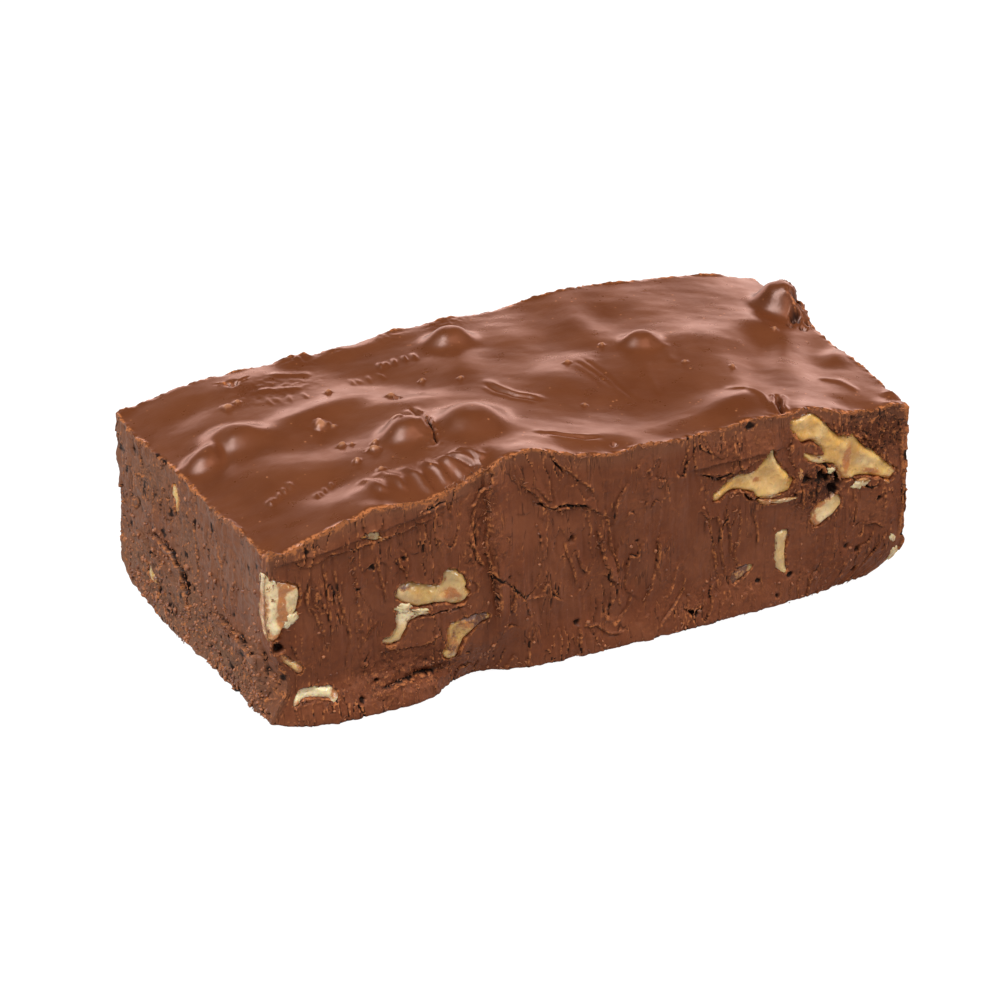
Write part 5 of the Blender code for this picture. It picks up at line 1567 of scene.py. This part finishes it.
def cut_fudge():
    """The cut faces: waxy, streaked by the knife, with painted shade in cracks, gaps and grooves,
    orange-brown where torn thin with a painted highlight on lit edges, and dust with a painted sheen.
    """
    s = Shading("cut_fudge")
    upright = s.stretched(1.0, 1.0, 0.10)
    colour = s.mix(s.patches(6.0, 0.35, 0.7, detail=4.0), CHOCOLATE, CHOCOLATE_LIGHT)
    colour = s.mix(s.patches(0.9, 0.52, 0.75, 0, 0.5, place=upright), colour, CHOCOLATE_DARK)
    crumbly = s.attribute("rough")
    flecks = s.patches(0.55, 0.58, 0.66)
    gap_shade = s.patches(0.62, 0.44, 0.36)
    colour = s.mix(s.ranged(crumbly, 0.35, 1.0, 0.0, 0.7), colour, CHOCOLATE_DARK)
    colour = s.mix(s.times(flecks, s.ranged(crumbly, 0.0, 1.0, 0.03, 0.75)), colour, TORN_ORANGE_AND_HIGHLIGHT)
    # Painted shade in the gaps between crumbs
    colour = s.mix(s.times(gap_shade, s.ranged(crumbly, 0.1, 0.9, 0.0, 0.9)), colour, CREVICE_SHADE)
    # Dust with a painted sheen
    colour = s.mix(s.times(s.attribute("dusty"), 0.45), colour, DUST_AND_SHEEN_COLOUR)
    dragged = s.noise(2.4, upright, distortion=0.6)
    shown = s.patches(4.0, 0.46, 0.6)
    # Painted shade in the knife's drag grooves, and a painted highlight in torn orange on their edges
    edge = s.times(s.band(dragged, 0.52, 0.010), shown)
    groove_shade = s.times(s.band(dragged, 0.495, 0.012), s.times(shown, 0.7))
    colour = s.mix(groove_shade, colour, CREVICE_SHADE)
    colour = s.mix(s.times(edge, s.patches(0.7, 0.35, 0.65, 0.1, 0.9)), colour, TORN_ORANGE_AND_HIGHLIGHT)
    torn = s.times(s.attribute("torn"), s.patches(0.4, 0.32, 0.58, detail=2.0))
    colour = s.mix(s.ranged(torn, 0.1, 0.7, 0, 0.9), colour, TORN_ORANGE_AND_HIGHLIGHT)
    colour = s.mix(s.ranged(s.attribute("dark"), 0.25, 0.9), colour, CREVICE_SHADE)
    rough = s.plus(s.ranged(crumbly, 0.0, 1.0, 0.42, 0.6), s.patches(1.6, 0.3, 0.7, -0.06, 0.06))
    grain = s.times(s.noise(0.5), s.ranged(crumbly, 0.0, 1.0, 0.3, 1.6))
    fine = s.bump(grain, 0.12, 0.9)
    laid = s.bump(s.times(s.ranged(dragged, 0.50, 0.53), shown), 0.16, 0.8, fine)
    normal = s.bump(s.noise(0.5, upright, detail=2.0), 0.06, 0.7, laid)
    return s.finish(colour, rough, normal, Specular_IOR_Level=0.2, Specular_Tint=(1.0, 0.75, 0.6, 1.0))


def fudge_skin():
    """The top: a glossy set skin with fine grain, faint flow lines, small orange specks, torn orange with
    painted highlights, and painted shade in its cracks.
    """
    s = Shading("fudge_skin")
    flow = s.stretched(0.35, 1.0, 1.0)
    colour = s.mix(s.patches(9.0, 0.3, 0.7), SKIN_DEEP, SKIN_LIGHT)
    specks = s.times(s.specks(1.5, 0.16), s.patches(5.0, 0.5, 0.62))
    colour = s.mix(s.times(specks, 0.7), colour, SKIN_SPECK)
    colour = s.mix(s.ranged(s.attribute("pale"), 0.3, 1.0, 0, 0.6), colour, SKIN_BUBBLE)
    torn = s.times(s.attribute("torn"), s.patches(0.5, 0.3, 0.6, detail=2.0))
    colour = s.mix(s.ranged(torn, 0.15, 0.9, 0, 0.85), colour, TORN_ORANGE_AND_HIGHLIGHT)
    colour = s.mix(s.ranged(s.attribute("dark"), 0.3, 1.0), colour, CREVICE_SHADE)
    rough = s.patches(3.0, 0.3, 0.7, 0.27, 0.36, detail=4.0)
    fine = s.bump(s.noise(0.45, flow, roughness=0.6), 0.024, 0.7)
    normal = s.bump(s.noise(2.2, flow, detail=2.0), 0.02, 0.6, fine)
    return s.finish(colour, rough, normal, Specular_IOR_Level=1.0, Specular_Tint=(1.0, 0.42, 0.28, 1.0))


def walnut_flesh():
    """Cut walnut: golden to cream, waxy, orange-brown at its rims, with fudge smeared thinly over it, and
    scattered painted glints.
    """
    s = Shading("walnut_flesh")
    colour = s.mix(s.patches(2.6, 0.3, 0.7, detail=4.0), WALNUT_GOLD, WALNUT_YELLOW)
    colour = s.mix(s.times(s.attribute("grey"), 0.85), colour, WALNUT_GREY)
    colour = s.mix(s.attribute("cream"), colour, WALNUT_CREAM)
    colour = s.mix(s.patches(0.7, 0.55, 0.75, 0, 0.35), colour, WALNUT_PALE)
    colour = s.mix(s.patches(1.4, 0.62, 0.74, 0, 0.5, detail=4.0, distortion=1.0), colour, WALNUT_STAIN)
    skin = s.times(s.attribute("skin"), s.patches(0.8, 0.2, 0.55))
    colour = s.mix(s.ranged(skin, 0.05, 0.7, 0, 0.92), colour, WALNUT_SKIN)
    smear = s.plus(s.attribute("smear"), s.patches(0.5, 0.3, 0.7, -0.32, 0.32))
    colour = s.mix(s.ranged(smear, 0.12, 0.55, 0, 0.85), colour, SMEAR_THIN)
    colour = s.mix(s.ranged(smear, 0.5, 0.95), colour, SMEAR_THICK)
    rough = s.plus(s.patches(0.8, 0.3, 0.7, 0.15, 0.32), s.ranged(smear, 0.3, 0.8, 0.0, 0.25))
    # Painted glints: small near-white specks
    glints = s.times(s.specks(1.3, 0.10), s.patches(2.6, 0.5, 0.6))
    colour = s.mix(s.times(glints, 0.85), colour, WALNUT_GLINT)
    fine = s.bump(s.noise(0.5, detail=4.0), 0.05, 0.8)
    normal = s.bump(s.noise(1.8, detail=2.0), 0.30, 0.9, fine)
    return s.finish(
        colour, rough, normal, Specular_IOR_Level=0.6,
        Subsurface_Weight=0.35, Subsurface_Scale=MM, Subsurface_Radius=(1.0, 0.6, 0.25),
    )


def torn_fudge():
    """Thin torn flakes and crumbs, which let light through and so look more orange."""
    s = Shading("torn_fudge")
    colour = s.mix(s.patches(1.6, 0.38, 0.62), TORN_DEEP, TORN_LIGHT)
    return s.finish(colour, s.patches(0.6, 0.3, 0.7, 0.4, 0.58), s.bump(s.noise(0.2), 0.03, 0.7))


# The camera looks from this turn and height, as fitted to the slice's corners, with a long lens
CAMERA_AZIMUTH = -27.4
CAMERA_ELEVATION = 26.5
CAMERA_DISTANCE = 700.0
CAMERA_TARGET = (-4.0, 0.0, 15.0)
CAMERA_LENS = 160.56
CAMERA_SENSOR = 36.0


def direction(azimuth, elevation):
    """From the slice towards that azimuth, 0 in front of the slice, and elevation, in degrees."""
    a, e = math.radians(azimuth), math.radians(elevation)
    return Vector((math.sin(a) * math.cos(e), -math.cos(a) * math.cos(e), math.sin(e)))


def aim(obj, place, target):
    """Puts a camera or light at a place, looking at the target."""
    obj.location = place
    obj.rotation_euler = (target - place).to_track_quat("-Z", "Y").to_euler()


def make_camera():
    camera = bpy.data.objects.new("camera", bpy.data.cameras.new("camera"))
    bpy.context.scene.collection.objects.link(camera)
    camera.data.sensor_width = CAMERA_SENSOR
    camera.data.lens = CAMERA_LENS
    target = Vector((np.array(CAMERA_TARGET) + TO_FRAME) * MM)
    aim(camera, target + CAMERA_DISTANCE * MM * direction(CAMERA_AZIMUTH, CAMERA_ELEVATION), target)
    bpy.context.scene.camera = camera


# Soft boxes: name, azimuth, elevation, distance, width and height in metres, power in watts, colour, and
# what they light: all, matt surfaces only, or gloss only
SOFT_BOXES = (
    ("back_wall", 152, 8.5, 1.1, 2.4, 0.42, 8.5, (1.0, 0.71, 0.63), "all"),
    ("left_box", -85, 45, 0.9, 0.4, 0.4, 6.8, (0.86, 0.95, 1.0), "matt"),
    ("left_glint", -88, 52, 0.9, 0.46, 0.46, 10.0, (0.44, 0.74, 1.0), "gloss"),
    ("right_box", 75, 48, 0.9, 0.5, 0.5, 5.6, (1.0, 0.95, 0.90), "matt"),
    ("right_glint", 36, 32, 0.9, 0.30, 0.30, 2.4, (0.70, 0.90, 1.0), "gloss"),
    ("front_box", -5, 60, 1.0, 0.9, 0.7, 4.7, (1.0, 0.98, 0.95), "all"),
)
LIGHTS_TARGET = (0, 0, 0.015)
WORLD_STRENGTH = 0.05

# The white ground and the unseen plane under it that lights the slice from below: height, grey and glow
GROUND = (-0.05, 0.15, 0.95)
BOUNCE = (-2.0, 0.3, 0.58)
PLANE_SIZE = 12.0


def make_lights():
    for name, azimuth, elevation, distance, width, height, power, colour, lights in SOFT_BOXES:
        light = bpy.data.lights.new(name, "AREA")
        light.color = colour
        light.shape = "RECTANGLE"
        light.size, light.size_y, light.energy = width, height, power
        box = bpy.data.objects.new(name, light)
        box.visible_glossy = lights != "matt"
        box.visible_diffuse = lights != "gloss"
        bpy.context.scene.collection.objects.link(box)
        aim(box, distance * direction(azimuth, elevation), Vector(LIGHTS_TARGET))
    world = bpy.data.worlds.new("studio")
    world.use_nodes = True
    background = world.node_tree.nodes["Background"]
    background.inputs["Color"].default_value = (1.0, 1.0, 1.0, 1.0)
    background.inputs["Strength"].default_value = WORLD_STRENGTH
    bpy.context.scene.world = world


def make_plane(name, height, grey, glow):
    """A level plane of the studio, matt and glowing, at a height in millimetres."""
    bpy.ops.mesh.primitive_plane_add(size=PLANE_SIZE, location=(0, 0, height * MM))
    plane = bpy.context.object
    plane.name = name
    plane.data.materials.append(Shading(name).finish(
        (grey, grey, grey), 0.9, None,
        Specular_IOR_Level=0.0, Emission_Color=(1, 1, 1, 1), Emission_Strength=glow,
    ))
    return plane


def make_floor():
    """White ground, and a dimmer one under it that only lights the slice from below."""
    ground = make_plane("ground", *GROUND)
    ground.visible_diffuse = False
    ground.visible_glossy = False
    bounce = make_plane("bounce", *BOUNCE)
    bounce.visible_camera = False


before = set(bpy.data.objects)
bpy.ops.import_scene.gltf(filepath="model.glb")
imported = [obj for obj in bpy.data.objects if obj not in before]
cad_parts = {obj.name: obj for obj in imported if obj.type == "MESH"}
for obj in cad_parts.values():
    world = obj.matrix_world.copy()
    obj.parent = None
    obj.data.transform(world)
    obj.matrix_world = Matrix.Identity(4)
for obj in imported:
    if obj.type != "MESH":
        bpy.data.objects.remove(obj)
cad_low, cad_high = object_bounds()
CAD_LOW, CAD_HIGH = np.array(cad_low), np.array(cad_high)
TO_FRAME = frame_shift()

bpy.context.scene.view_settings.view_transform = "Standard"
make_camera()
make_lights()
make_floor()
make_block(fudge_skin(), cut_fudge())
walnut = walnut_flesh()
make_kernels(walnut)
make_chips(walnut)
torn = torn_fudge()
make_shreds(torn)
make_crumbs(torn)
